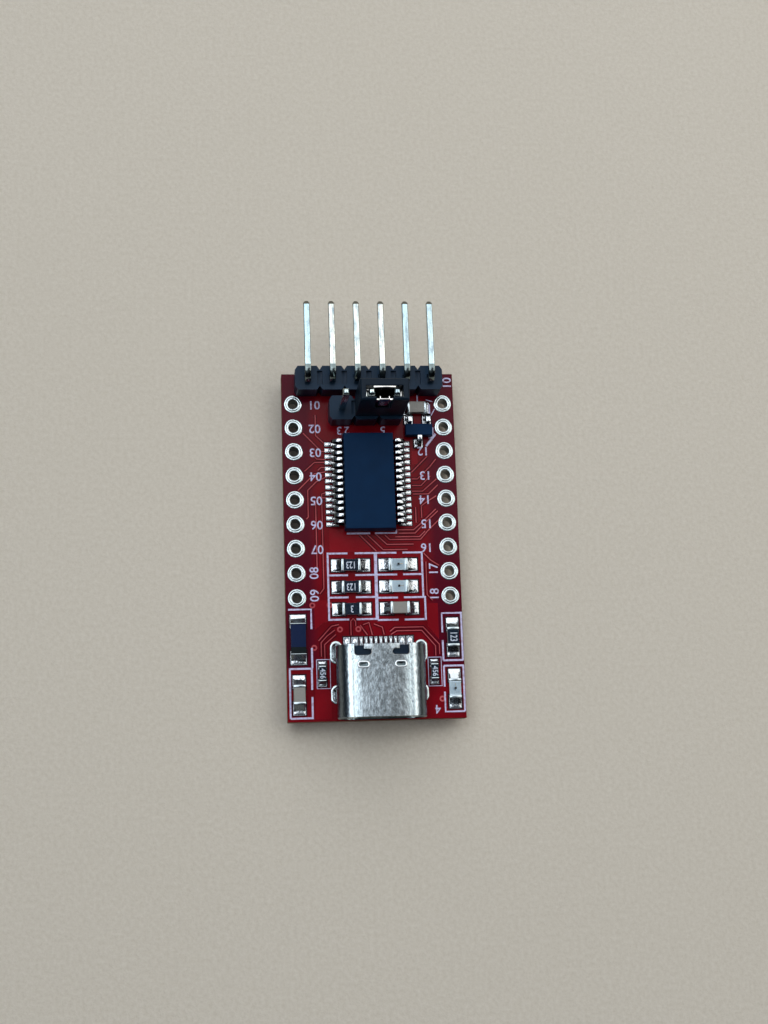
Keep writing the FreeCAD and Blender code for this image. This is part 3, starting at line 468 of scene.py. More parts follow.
def ink(name, thin, full):
    """Screen-printed ink, thin in places."""
    finish = Finish(name, Roughness=0.45, IOR=1.45)
    wear = finish.ramp(finish.noise(3.0, 4.0, 0.6), ((0.36, 0.0), (0.52, 1.0)))
    return finish.done(finish.mix(wear, thin, full), finish.noise(9.0, 2.0), 0.004)


ink_finish = ink("white_ink", (0.46, 0.36, 0.52), (0.64, 0.63, 0.9))
ink_lift = 0.045


def printed(name, width, lines):
    """Printed lines, each given as x, y, x, y from the middle of the hole rows."""
    strips(name, [shifted(*line) for line in lines], board_top, width, ink_lift, 0.02, ink_finish)


frame_lines = []
for y_left, y_right in ((-5.625, -5.625), (-7.875, -7.875), (-10.15, -10.25), (-12.4, -12.52)):
    frame_lines += [(-4.72, y_left, -2.6, y_left), (-1.85, y_left, 0.31, y_left),
                    (0.31, y_right, 2.44, y_right), (3.06, y_right, 5.1, y_right)]
frame_lines += [
    (0.2, -5.7, 0.2, -12.5), (0.33, -5.7, 0.33, -12.5), (-4.625, -5.53, -4.625, -12.5),
    (5.05, -5.53, 5.05, -10.3), (5.22, -10.15, 5.22, -12.6), (-2.6, -3.56, -0.19, -3.56),
    (0.31, -3.56, 2.5, -3.56, 2.5, -3.2), (6.69, 7.6, 6.69, 6.6, 6.25, 6.5), (6.43, 10.1, 6.43, 9.1),
    (-8.75, -11.3, -6.44, -11.3, -6.44, -13.3), (-6.44, -15.2, -6.44, -17.2),
    (-8.75, -17.275, -6.375, -17.275), (-6.5, -17.2, -6.5, -19.4), (-6.5, -20.1, -6.5, -22.2),
    (-6.4, -22.2, -8.7, -22.2), (-8.7, -17.2, -8.7, -22.2), (6.86, -13.9, 6.86, -11.94, 8.95, -11.94),
    (6.86, -14.7, 6.86, -16.75), (6.86, -16.75, 8.9, -16.75), (8.85, -11.94, 8.85, -16.75),
    (6.87, -17.3, 8.9, -17.3), (6.87, -17.3, 6.87, -19.4), (6.87, -19.9, 6.87, -21.9, 8.85, -21.9),
    (8.85, -17.3, 8.85, -21.9),
]
printed("printed_frames", 0.2, frame_lines)
printed("printed_fine_lines", 0.1, (
    (-6.0, -16.4, -4.65, -16.4, -4.65, -19.3, -6.0, -19.3, -6.0, -16.4),
    (5.28, -16.4, 6.62, -16.4, 6.62, -19.3, 5.28, -19.3, 5.28, -16.4), (6.1, 10.6, 6.8, 10.4),
    (7.0, 9.6, 6.6, 8.9),
))
printed("printed_slash", 0.24, [(6.98, 6.9, 5.95, 5.6)])


def numerals(name, entries, level, lift, material, slot):
    """Printed numbers: each a text, its middle in metres, its digits' height, its turn and its narrowing."""
    size_to_digit, spread = 1.42, 0.012
    bm = bmesh.new()
    for text, x, y, high, turn, narrowing in entries:
        curve = bpy.data.curves.new("numeral", "FONT")
        curve.body, curve.size = text, high * mm * size_to_digit
        curve.align_x, curve.align_y = "CENTER", "CENTER"
        curve.extrude, curve.resolution_u, curve.offset = lift * mm / 2, 3, spread * mm
        mesh = made_plain(held("numeral", curve))
        mesh.transform(Matrix.Translation((x, y, level + lift * mm / 2)) @ Matrix.Rotation(turn, 4, "Z")
                       @ Matrix.Diagonal((narrowing, 1, 1, 1)))
        bm.from_mesh(mesh)
    plain(name, bm, material, slot)


half_turn, quarter_turn = math.pi, math.pi / 2
hole_pitch = 2.54
row_numbers = []
for high, turn, group in (
    (0.9, half_turn, [("0%d" % (i + 1), -5.65, 10.1 - hole_pitch * i) for i in range(7)]),
    (0.9, half_turn, (("12", 5.6, 5.1), ("13", 5.75, 2.5), ("14", 5.6, -0.05), ("15", 5.7, -2.6),
                      ("16", 5.6, -5.1))),
    (0.9, quarter_turn, (("08", -6.0, -7.6), ("09", -6.0, -9.9), ("17", 6.25, -7.4),
                         ("18", 6.25, -10.0), ("10", 8.45, 12.4))),
    (0.85, half_turn, (("3", -3.1, 7.35), ("2", -2.3, 7.35), ("5", 1.45, 7.35), ("1", 5.2, 10.75),
                       ("4", 6.1, -21.6))),
):
    row_numbers += [(text, *shifted(x, y)[0].xy, high, turn, 1.0) for text, x, y in group]
numerals("printed_numbers", row_numbers, board_top, ink_lift, ink_finish, "solder_mask")


# Every open hole is plated through and levelled with tin in hot air: the ring on each face is
# slightly domed, and the tin runs down the wall of the hole.

def tin(name, colour, rough, waviness, scale=2.4, steep=None):
    """Levelled or plated tin, with painted shade of another colour where it is steep if one is given."""
    finish = Finish(name, Metallic=1.0)
    patch = finish.noise(scale, 3.0, 0.55)
    shade = finish.mix(patch, tuple(0.82 * c for c in colour), colour)
    # Painted shade: steep faces take the darker colour.
    if steep:
        shade = finish.mix(finish.facing() < 0.8, shade, steep)
    finish.gloss(patch, rough * 0.6, rough * 1.5, 0.75)
    return finish.done(shade, finish.noise(scale * 1.3, 3.0), waviness)


def lathe(section, sides=40, straight=(0.0, 0.0)):
    """A ring round Z from a closed section of radius and height in millimetres, drawn out by straights."""
    bm = bmesh.new()
    loops = []
    for i in range(sides):
        turn = 2 * math.pi * (i + 0.5) / sides
        out = Vector((math.cos(turn), math.sin(turn)))
        shift = Vector((math.copysign(straight[0], out.x), math.copysign(straight[1], out.y)))
        loops.append([bm.verts.new((*((out * r + shift) * mm), z * mm)) for r, z in section])
    bridged(bm, loops + loops[:1])
    return as_mesh(bm, same_point)


def row(name, mesh, first, step, count, material, slot, stands_for=None):
    """The same small piece repeated at even steps, its first copy at a point in metres."""
    steps = Steps(name, first=tuple(first), step=tuple(step), count=count, material=material)
    spots = steps.node("GeometryNodeMeshLine", {"mode": "OFFSET"},
                       {"Count": steps.count, "Start Location": steps.first, "Offset": steps.step})
    copies = steps.node("GeometryNodeInstanceOnPoints", (), {"Points": spots, "Instance": steps.given})
    finished(name, steps.run(copies, mesh), None, slot, stands_for, smooth_degrees=40)


board_thick = (board_top - board_under) / mm


def through_board(face, wall):
    """The section of a ring on both faces of the board, with a wall of this radius between them."""
    above, below = [(r, board_thick + z) for r, z in face], [(r, -z) for r, z in reversed(face)]
    return above + [(wall, board_thick - 0.01), (wall, 0.01)] + below


# Its steep colour is painted shade on the walls of the holes and slots and the rings' steep edges.
levelled_tin = tin("levelled_tin", (0.6, 0.68, 0.7), 0.15, 0.025, 2.4, (0.22, 0.27, 0.28))
hole_ring = lathe(through_board((
    (0.5, 0.012), (0.53, 0.042), (0.6, 0.049), (0.7, 0.046), (0.735, 0.02), (0.77, 0.042),
    (0.85, 0.034), (0.91, 0.018), (0.94, -0.004)), 0.56))
ring_radius = 0.94
for name in ("left_hole_rings", "right_hole_rings"):
    low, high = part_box(name)
    first = ((low.x + high.x) / 2, low.y + ring_radius * mm, board_under)
    pitch = (high.y - low.y - 2 * ring_radius * mm) / 8
    row(name.replace("hole_rings", "rings_tinned"), hole_ring, first, (0, pitch, 0), 9, levelled_tin,
        "tinned_copper", name)


# The serial chip is an epoxy block moulded over a lead frame, with 14 tinned gull-wing leads on
# each side. Each lead rests on a copper pad, and solder runs up its toe.

def moulded(name, colour, rough, grain, gloss=0.12):
    """Moulded plastic: a fine eroded grain, faint flow marks and a soft sheen."""
    finish = Finish(name, Specular_IOR_Level=gloss, IOR=1.5)
    dark, light = (tuple(share * c for c in colour) for share in (0.8, 1.25))
    fine = finish.noise(14.0, 3.0, 0.6)
    finish.gloss(fine, rough * 0.85, rough * 1.15)
    return finish.done(finish.mix(finish.noise(0.6, 3.0), dark, light), fine, grain)


def rounded(points, radius, parts=4):
    """Points of a bent line in a plane, with each inner corner turned on a radius."""
    line = [Vector(points[0])]
    for before, corner, after in zip(points, points[1:], points[2:]):
        before, corner, after = Vector(before), Vector(corner), Vector(after)
        back, on = (before - corner).normalized(), (after - corner).normalized()
        half = back.angle(on) / 2
        reach = radius / math.tan(half)
        centre = corner + (back + on).normalized() * (radius / math.sin(half))
        start, stop = corner + back * reach - centre, corner + on * reach - centre
        for i in range(parts + 1):
            line.append(centre + start.slerp(stop, i / parts))
    line.append(Vector(points[-1]))
    return line


def strap(points, thick, width, ease=0.02, blunt=1.0):
    """A strip bent along points of X and Z in millimetres, its width along Y and its ends blunted."""
    bm = bmesh.new()
    loops, last = [], len(points) - 1
    for i, point in enumerate(points):
        run = (points[min(i + 1, last)] - points[max(i - 1, 0)]).normalized()
        share = blunt if i in (0, last) else 1.0
        across, half = Vector((-run.y, run.x)) * (thick / 2 * share), width / 2 * share
        under, over = point - across, point + across
        loops.append([bm.verts.new((spot.x * mm, y * mm, spot.y * mm))
                      for spot, y in ((under, -half), (under, half), (over, half), (over, -half))])
    bridged(bm, loops)
    bm.faces.new(list(reversed(loops[0])))
    bm.faces.new(loops[-1])
    bmesh.ops.recalc_face_normals(bm, faces=bm.faces)
    ease_edges(bm, [e for e in bm.edges if e.calc_face_angle(0.0) > math.radians(60)], ease, 2)
    return as_mesh(bm)


def placed(mesh, place=(0, 0, 0), turn=0.0):
    """A mesh turned about Z and then moved to a place."""
    mesh.transform(Matrix.Translation(place) @ Matrix.Rotation(turn, 4, "Z"))
    return mesh


def middle_of(node):
    low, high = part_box(node)
    return (low + high) / 2


def slope(bm, start, out, long, wide, high, film, seed, along=12, across=10):
    """Solder that climbs from a pad to the end of a part: start is the foot of the part's end."""
    random = Random(seed)
    lean, swell = random.uniform(-0.12, 0.12), random.uniform(0.0, 0.02)
    foot_share = random.uniform(0.52, 0.64)
    side = Vector((abs(out.y), abs(out.x), 0))
    lines = []
    for i in range(along + 1):
        u = (i / along) ** 1.3
        half = wide / 2 * (1 - 0.14 * u ** 6 - 0.05 * math.sin(math.pi * u))
        line = []
        for k in range(across + 1):
            v = 2 * k / across - 1
            near = max(0.0, 1 - u / (foot_share * (1 + lean * v)))
            climb = near ** 1.1 * (1 - 0.5 * abs(v) ** 4)
            skin = film * (1 - abs(v) ** 8) * (1 - u ** 10) + swell * math.sin(math.pi * u) * (1 - v * v)
            height = skin + (high - film) * climb
            line.append(bm.verts.new(start + out * (u * long * mm) + side * (v * half * mm)
                                     + Vector((0, 0, max(height, 0.004) * mm))))
        lines.append(line)
    border = lines[0] + [r[-1] for r in lines[1:]] + lines[-1][-2::-1] + [r[0] for r in lines[-2:0:-1]]
    foot = [bm.verts.new((v.co.x, v.co.y, start.z)) for v in border]
    for i in range(along):
        for k in range(across):
            bm.faces.new((lines[i][k], lines[i + 1][k], lines[i + 1][k + 1], lines[i][k + 1]))
    bridged(bm, (border, foot))
    bm.faces.new(foot)


def separate_boxes(node):
    """The lowest and highest corner of each separate solid of a node."""
    bm = merged(node)
    boxes, seen = [], set()
    for first in bm.verts:
        group = [] if first in seen else [first]
        seen.add(first)
        for vert in group:
            near = [e.other_vert(vert) for e in vert.link_edges]
            group += [v for v in near if v not in seen]
            seen.update(near)
        if group:
            boxes.append([Vector(pick(v.co[i] for v in group) for i in range(3)) for pick in (min, max)])
    bm.free()
    return boxes


def speckled(name, grain, dark, light, rough, depth, over=None, **sockets):
    """A finely mottled surface; over, if given, makes its colour from the mottle and the mixed shade."""
    finish = Finish(name, **sockets)
    speck = finish.noise(*grain)
    shade = finish.mix(speck, dark, light)
    finish.gloss(speck, *rough)
    return finish.done(over(finish, speck, shade) if over else shade, speck, depth)


pad_level = board_top + 0.05 * mm
# The epoxy's navy tint is a painted blue sheen on black.
epoxy = moulded("black_epoxy_painted_blue_sheen", (0.0025, 0.022, 0.066), 0.36, 0.004, 0.05)
# Their steep colours are painted shade on the leads' risers and on the solder's steep slopes.
lead_tin = tin("lead_tin", (0.78, 0.82, 0.86), 0.17, 0.01, 4.0, (0.1, 0.12, 0.13))
solder_finish = tin("soft_solder", (0.76, 0.81, 0.85), 0.14, 0.034, 4.5, (0.16, 0.19, 0.2))
paint(nodes["surface_pads"].data, tin("tinned_pads", (0.84, 0.87, 0.9), 0.2, 0.012, 3.0))
# The mask openings round the pads are real; their near-black colour is painted contact shade, as bare laminate
# is pale.
opening_shade_finish = speckled("laminate_painted_contact_shade", (2.5, 3.0, 0.6), (0.008, 0.002, 0.006),
                       (0.045, 0.006, 0.012), (0.5, 0.5), 0.01, Specular_IOR_Level=0.1)
openings = bmesh.new()
for number, (low, high) in enumerate(separate_boxes("surface_pads")):
    margin = (0.14 if min(high.x - low.x, high.y - low.y) > 0.5 * mm else 0.09) * mm
    left, right, near, far = low.x - margin, high.x + margin, low.y - margin, high.y + margin
    corners = [Vector((x, y, 0)) for x, y in ((left, near), (right, near), (right, far), (left, far))]
    slab(openings, corners, sunk_level, board_top + 0.0142 * mm + crossing_rise(number))
plain("mask_openings_painted_shade", openings, opening_shade_finish, "solder_mask")

chip_x, lead_pitch, toe_x = middle_of("serial_chip_body").x, 0.65 * mm, 3.86 * mm
eased("serial_chip_body", epoxy, 0.05, 3)
lead_bends = rounded(((2.6, 0.95), (2.95, 0.95), (3.26, 0.14), (3.9, 0.14)), 0.16)
toes = bmesh.new()
for turn, name in ((0.0, "serial_chip_right_leads"), (half_turn, "serial_chip_left_leads")):
    first = Vector((chip_x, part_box(name)[0].y + 0.15 * mm, board_top))
    row(name + "_bent", placed(strap(lead_bends, 0.18, 0.3), turn=turn), first, (0, lead_pitch, 0), 14,
        lead_tin, "tinned_lead", name)
    out = Vector((math.cos(turn), 0, 0))
    for i in range(14):
        toe = Vector((chip_x + out.x * toe_x, first.y + lead_pitch * i, pad_level))
        slope(toes, toe, out, 0.52, 0.35, 0.17, 0.05, i + 20 * (turn > 0), 6, 6)
plain("lead_toe_solder", toes, solder_finish, "solder")


# The small transistor is the same kind of moulded block, with two leads on its far side and one
# on its near side.

eased("small_transistor_body", epoxy, 0.04)
transistor = middle_of("small_transistor_body")
short_bends = rounded(((0.6, 0.6), (0.85, 0.6), (1.05, 0.115), (1.25, 0.115)), 0.08)
lead_copies, lead_joints = bmesh.new(), bmesh.new()
for x, turn in ((-0.95, quarter_turn), (0.95, quarter_turn), (0.0, -quarter_turn)):
    root = Vector((transistor.x + x * mm, transistor.y, board_top))
    lead_copies.from_mesh(placed(strap(short_bends, 0.13, 0.42), root, turn))
    out = Vector((0, math.sin(turn), 0))
    toe = Vector((*root.xy, pad_level)) + out * 1.2 * mm
    slope(lead_joints, toe, out, 0.46, 0.78, 0.16, 0.05, int(x * 10) + 60, 8, 8)
plain("small_transistor_leads_bent", lead_copies, lead_tin, "tinned_lead", "small_transistor_leads")
plain("transistor_solder", lead_joints, solder_finish, "solder")


# Chip resistors, capacitors and the fuse are fired ceramic blocks with plated ends. Paste
# solder, melted in an oven, climbs from each pad to the plated end with a hollow slope.

def box_faces(bm, low, high, ease, segments=2):
    """A box between two corners, with its edges rounded."""
    made = bmesh.ops.create_cube(bm, size=1.0)["verts"]
    for v in made:
        v.co = Vector(low[i] + (v.co[i] + 0.5) * (high[i] - low[i]) for i in range(3))
    ease_edges(bm, list({e for v in made for e in v.link_edges}), ease, segments)


def soldered_ends(part, band, reach, seed, ease=0.09):
    """The plated ends of a chip part, as rounded caps on its own body, and their slopes of solder."""
    low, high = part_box(part + "_ends")
    size = (high - low) / mm
    axis = 0 if size.x > size.y else 1
    near_high, far_low = high.copy(), low.copy()
    near_high[axis], far_low[axis] = low[axis] + band * mm, high[axis] - band * mm
    caps = bmesh.new()
    box_faces(caps, low, near_high, ease)
    box_faces(caps, far_low, high, ease)
    plain(part + "_plated_ends", caps, terminal_tin, "terminal_tin", part + "_ends")
    for side in (-1, 1):
        out = side * axes[axis]
        foot = (low + high) / 2 + out * ((size[axis] / 2 - 0.03) * mm)
        foot.z = pad_level
        slope(joints, foot, out, reach, size[1 - axis] * 0.98, size.z * 0.95, 0.06, seed + (side > 0))
    return low, high, axis


def on_alumina(finish, speck, top):
    """A coated top over white alumina sides."""
    white = finish.mix(speck, (0.55, 0.55, 0.53), (0.72, 0.72, 0.7))
    return finish.mix(finish.facing() > 0.5, white, top)


def dark_near_end(finish, speck, coat):
    """A coat that is nearly black at its near end, up to a line across it."""
    return finish.mix(finish.spot("Y") < dark_end_y, coat, (0.004, 0.009, 0.011))


axes = Vector((1, 0, 0)), Vector((0, 1, 0))
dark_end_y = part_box("fuse_body")[0].y / mm + 0.75
terminal_tin = tin("terminal_tin", (0.5, 0.57, 0.6), 0.2, 0.01, 3.5)
resistor_finish = speckled(
    "black_glass_on_alumina", (4.0, 3.0), (0.002, 0.008, 0.02), (0.006, 0.02, 0.04), (0.22, 0.34),
    0.006, on_alumina, IOR=1.5, Specular_IOR_Level=0.15)
ceramic_finish = speckled("warm_grey_ceramic", (7.0, 4.0, 0.6), (0.22, 0.215, 0.195),
                          (0.33, 0.322, 0.295), (0.35, 0.5), 0.006)
fuse_finish = speckled(
    "dark_blue_coating", (14.0, 3.0, 0.6), (0.003, 0.01, 0.044), (0.006, 0.019, 0.075), (0.2, 0.28),
    0.004, dark_near_end, IOR=1.5, Specular_IOR_Level=0.12)
joints = bmesh.new()
mark_entries = []
for number, (part, finish, band, reach, text) in enumerate((
    ("upper_capacitor", ceramic_finish, 0.26, 0.35, ""),
    ("grid_resistor_1", resistor_finish, 0.28, 0.98, "123"),
    ("grid_resistor_2", resistor_finish, 0.28, 0.98, "123"),
    ("grid_resistor_3", resistor_finish, 0.28, 0.98, "3"),
    ("grid_capacitor", ceramic_finish, 0.3, 0.98, ""),
    ("fuse", fuse_finish, 0.15, 0.92, ""),
    ("left_capacitor", ceramic_finish, 0.32, 0.98, ""),
    ("right_resistor", resistor_finish, 0.32, 0.98, "123"),
    ("left_small_resistor", resistor_finish, 0.2, 0.45, "456"),
    ("right_small_resistor", resistor_finish, 0.2, 0.45, "456"),
)):
    eased(part + "_body", finish, 0.03 if finish is resistor_finish else 0.06)
    soldered_ends(part, band, reach, 100 + 2 * number)
    if text:
        turn = half_turn if "grid" in part else -quarter_turn
        high, narrowing = (0.54, 0.9) if "small" in part else (0.72, 0.68)
        mark_entries.append((text, *middle_of(part + "_body").xy, high, turn, narrowing))
mark_finish = ink("white_marking", (0.45, 0.52, 0.62), (0.66, 0.74, 0.88))
marks_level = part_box("grid_resistor_1_body")[1].z
numerals("resistor_numbers", mark_entries, marks_level, 0.008, mark_finish, "resistor_black")


# Each lamp is a white moulded base with plated ends and a clear block over a tiny die, which is
# stuck on a metal pad and wired to the other end.

base_finish = speckled("white_base", (5.0, 3.0), (0.62, 0.8, 0.92), (0.78, 0.92, 1.0), (0.35, 0.5), 0.0)
clear = Finish("clear_epoxy", IOR=1.5, Alpha=0.03, Roughness=0.12)
lens_finish = clear.done((0.7, 0.88, 1.0, 1), clear.noise(2.0, 2.0), 0.01)
die_finish = moulded("dark_die", (0.004, 0.004, 0.008), 0.3, 0.002)
dies, wires = bmesh.new(), bmesh.new()
for number, part in enumerate(("grid_lamp_1", "grid_lamp_2", "right_lamp")):
    eased(part + "_base", base_finish, 0.03)
    low, high, axis = soldered_ends(part, 0.3, 0.98, 140 + 2 * number, 0.06)
    eased(part + "_lens", lens_finish, 0.06, 3)
    middle, deck = (low + high) / 2, high.z - 0.035 * mm
    die_low = Vector((middle.x - 0.1 * mm, middle.y - 0.1 * mm, deck))
    box_faces(dies, die_low, die_low + Vector((0.2, 0.2, 0.3)) * mm, 0.01)
    half = (axes[axis] * 0.06 + axes[1 - axis] * 0.015 + Vector((0, 0, 0.015))) * mm
    for step in range(5):
        spot = middle + axes[axis] * (0.1 * step * mm)
        spot.z = deck + (0.1 + 0.16 * math.sin(math.pi * (step + 0.4) / 5.4)) * mm
        box_faces(wires, spot - half, spot + half, 0.004, 1)
plain("lamp_dies", dies, die_finish, "lamp_lens")
plain("lamp_wires", wires, tin("gold_wire", (1.0, 0.72, 0.3), 0.2, 0.0), "contact_gold")
plain("chip_solder_slopes", joints, solder_finish, "solder", "chip_solder")


# The bent header and the three-pin voltage header are notched bars of glass-filled nylon. Square
# brass pins, plated bright, are pressed through them and cut to a blunt point.

# The nylon's navy tint is a painted blue sheen on black.
nylon = moulded("black_nylon_painted_blue_sheen", (0.006, 0.024, 0.052), 0.34, 0.006, 0.16)


def pin_metal(name, pin_shade_to=None, cut_from=None):
    """Bright plating; painted shade up to one place along Y, in millimetres, and painted dark reflection on
    its rounded corners; from another place bare brass.
    """
    finish = Finish(name, Metallic=1.0)
    patch = finish.noise(1.2, 4.0, 0.65, (2.5, 0.5, 2.5) if cut_from else (2.5, 2.5, 0.5))
    tint = finish.ramp(finish.noise(0.42, 2.0, 0.5, (1.0, 0.12, 0.12)), ((0.42, 0.0), (0.58, 1.0)))
    bright = finish.mix(tint, (0.5, 0.68, 0.73), (0.8, 0.81, 0.71))
    plating = finish.mix(finish.ramp(patch, ((0.36, 0.0), (0.56, 1.0))), (0.3, 0.38, 0.42), bright)
    if cut_from is None:
        finish.gloss(patch, 0.1, 0.2)
    else:
        sideways = finish.facing("X")
        # Painted dark reflection: the rounded corners, facing both sideways and up or down, are near-black.
        corner = (abs(sideways) > 0.3) * (abs(sideways.part("Z")) > 0.3)
        plating = finish.mix(corner, plating, (0.07, 0.09, 0.1))
        along = finish.spot("Y")
        # Painted shade: the pin is darker up to the place beside the bar's end.
        plating = finish.mix(along < pin_shade_to, plating, (0.17, 0.21, 0.21))
        cut = along > cut_from
        plating = finish.mix(cut, plating, (0.1, 0.095, 0.075))
        finish.set(Roughness=cut * 0.3 + 0.15)
    return finish.done(plating, patch, 0.005)


post_finish = pin_metal("bright_post")
bar_end_y, tip_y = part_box("header_housing")[1].y / mm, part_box("header_pin_1")[1].y / mm
pin_finish = pin_metal("bright_pin", bar_end_y - 0.3, tip_y - 0.34)
under_ring_radius = 0.87
for name in ("header", "jumper"):
    eased(name + "_housing", nylon, 0.05)
for i in range(1, 7):
    pin = "header_pin_%d" % i
    low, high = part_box(pin)
    pin_x, pin_y = (low.x + high.x) / 2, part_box("header_hole_rings")[0].y + under_ring_radius * mm
    thick, foot, tip, end = (high.x - low.x) / mm, low.z / mm, (high.y - pin_y) / mm, 0.2
    top = high.z / mm - thick / 2
    corner = [Vector(p) for p in ((0, foot), (0, foot + end), (0, top), (tip - end, top), (tip, top))]
    path = corner[:1] + rounded(corner[1:4], 0.7, 8) + corner[4:]
    bent = placed(strap(path, thick, thick, 0.12, 0.6), (pin_x, pin_y, 0), quarter_turn)
    finished(pin + "_bent", bent, pin_finish, "pin_metal", pin)
for i in range(1, 4):
    eased("jumper_pin_%d" % i, post_finish, 0.05)


# Under the board each pin stands in a tinned ring, and hand-fed solder draws up it in a hollow
# cone.

under_ring = lathe(((0.5, -0.048), (0.84, -0.045), (0.87, -0.02), (0.87, 0.004), (0.52, 0.004)), 32)
cone = lathe(((0.3, 0.0), (0.8, -0.02), (0.66, -0.1), (0.55, -0.24), (0.49, -0.45), (0.46, -0.68),
              (0.44, -0.82), (0.4, -0.84), (0.3, -0.84)), 24)
for name, count, replaced in (("header", 6, "pin_solder"), ("jumper", 3, None)):
    low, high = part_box(name + "_hole_rings")
    first = Vector((low.x + under_ring_radius * mm, (low.y + high.y) / 2, board_under))
    step = (hole_pitch * mm, 0, 0)
    row(name + "_rings_tinned", under_ring, first, step, count, levelled_tin, "tinned_copper",
        name + "_hole_rings")
    row(name + "_pin_cones", cone, first - Vector((0, 0, 0.04 * mm)), step, count, solder_finish,
        "solder", replaced)


# The voltage cap is a moulded box that slides onto two of the three pins. A folded tin-bronze
# strip inside it grips and joins them; its back edge and its bent tongue show from above.

# The cap's navy tint is a painted blue sheen on black.
cap_plastic = moulded("black_cap_plastic_painted_blue_sheen", (0.005, 0.014, 0.027), 0.34, 0.005)
contact_finish = tin("folded_bronze", (0.9, 0.89, 0.85), 0.14, 0.02, 3.0)
eased("jumper_cap", cap_plastic, 0.05, body="jumper")
low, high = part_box("jumper_contact")
cap_middle = Vector(((low.x + high.x) / 2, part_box("jumper_hole_rings")[0].y + under_ring_radius * mm, low.z))
half, tall, grip = (high.x - low.x) / 2 / mm, (high.z - low.z) / mm, (high.y - cap_middle.y) / mm
sunk, strip, tongue_y, tongue_half, tongue_strip = tall - 1.0, 0.18, (low.y - cap_middle.y) / mm, 0.5, 0.1
back, front, tongue = (grip - strip, grip), (-grip, strip - grip), (tongue_y, strip - grip)
contact = bmesh.new()
for x, y, top in (((-1.1, 1.1), back, tall), ((-half, half), back, sunk),
                  ((-half, strip - half), (-grip, grip), sunk), ((half - strip, half), (-grip, grip), sunk),
                  ((-half, tongue_strip - tongue_half), front, sunk),
                  ((tongue_half - tongue_strip, half), front, sunk),
                  ((-tongue_half, tongue_strip - tongue_half), tongue, sunk + 0.8),
                  ((tongue_half - tongue_strip, tongue_half), tongue, sunk + 0.8),
                  ((-tongue_half, tongue_half), (tongue_y, tongue_y + tongue_strip), sunk + 0.8)):
    ends = [cap_middle + Vector(corner) * mm for corner in ((x[0], y[0], 0), (x[1], y[1], top))]
    box_faces(contact, *ends, 0.03)
plain("jumper_contact_folded", contact, contact_finish, "pin_metal", "jumper_contact", "jumper")


# The port's shell is drawn from stainless strip: a flattened tube with a rolled front lip, two
# spring windows cut in its rear edge, two dimples, and four legs soldered through the board.

shell_low, shell_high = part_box("port_shell")
port_x, round_ends = (shell_low.x + shell_high.x) / 2, 3.26
flat_half = ((shell_high.x - shell_low.x) / mm - round_ends) / 2


def drawn_steel():
    """Stainless strip with fine rolling lines along the port; a painted highlight where its bends begin,
    painted dark reflection on the rolls and painted shade inside it and in its dimples.
    """
    finish = Finish("drawn_steel", Metallic=1.0)
    flecks = finish.noise(4.5, 4.0, 0.65, (1.0, 0.45, 1.0))
    cloud = finish.noise(0.7, 3.0, 0.6)
    uneven = flecks * 0.7 + cloud * 0.3
    shade = finish.ramp(uneven, ((0.36, (0.17, 0.195, 0.205)), (0.64, (0.44, 0.49, 0.52))))
    spot = finish.spot("X")
    from_middle = abs(spot - port_x / mm)
    outward = from_middle * (0.5 / flat_half) + flecks * 0.12 - 0.06
    # Painted highlight: a bright band where each bend begins; beyond it, on the rolls, painted dark
    # reflection.
    shoulder = finish.ramp(outward, ((0.36, 0.0), (0.46, 1.0), (0.57, 1.0), (0.61, 0.0)))
    shade = finish.mix(outward > 0.6, shade, (0.17, 0.205, 0.23))
    shade = finish.mix(shoulder, shade, (0.68, 0.79, 0.83))
    # Painted shade: below the top face, over the flat part and short of the rear cut-outs, the steel is dark,
    # inside the mouth, underneath and in the dimples.
    pressed = (spot.part("Z") < shell_high.z / mm - 0.03) * (from_middle < flat_half - 0.2)
    pressed = pressed * (spot.part("Y") < shell_high.y / mm - 1.7)
    shade = finish.mix(pressed, shade, (0.1, 0.13, 0.14))
    across = from_middle.math("MINIMUM", flat_half)
    finish.gloss(flecks, 0.14, 0.26)
    return finish.done(shade, flecks - across * across * 0.55, 0.03)


def ball(bm, place, size, around, up, lift=0.0):
    """A flattened ball of three half sizes in millimetres, its middle at a place in metres."""
    made = bmesh.ops.create_uvsphere(bm, u_segments=around, v_segments=up, radius=1.0)["verts"]
    for v in made:
        v.co = place + (v.co * Vector(size) + Vector((0, 0, lift))) * mm


# The insulator's navy tint is a painted blue sheen on black.
port_nylon = moulded("black_port_plastic_painted_blue_sheen", (0.006, 0.018, 0.036), 0.3, 0.004)
dimple_gap = 3.72 * mm
first_dimple = Vector((port_x - dimple_gap / 2, shell_high.y - 2.2 * mm, shell_high.z))


def dimpled(bm):
    """The shell with its two dimples pressed in: its closed surface less that of two punches."""
    punches = bmesh.new()
    for shift in (0.0, dimple_gap):
        ball(punches, first_dimple + Vector((shift, 0, 0)), (0.5, 0.22, 0.15), 32, 16, 0.02)
    block, cutter = held("block", as_mesh(bm)), held("cutter", as_mesh(punches))
    block.modifiers.new("cut", "BOOLEAN").object = cutter
    result = opened(made_plain(block))
    bpy.data.objects.remove(cutter)
    return result


eased("port_shell", drawn_steel(), 0.05, 3, smooth_degrees=50, shaped=dimpled)
dimple_rim = lathe(((0.19, -0.03), (0.2, 0.01), (0.24, 0.028), (0.29, 0.026), (0.35, 0.01),
                    (0.37, -0.01)), 32, (0.27, 0))
# Painted highlight: the rims of the dimples and rear cut-outs are raised beads in a near-white steel, brighter
# than the shell's own.
rim_highlight = tin("steel_painted_rim_highlight", (0.86, 0.9, 0.92), 0.14, 0.006, 3.0)
row("port_shell_dimple_rims", dimple_rim, first_dimple, (dimple_gap, 0, 0), 2, rim_highlight, "shell_steel")


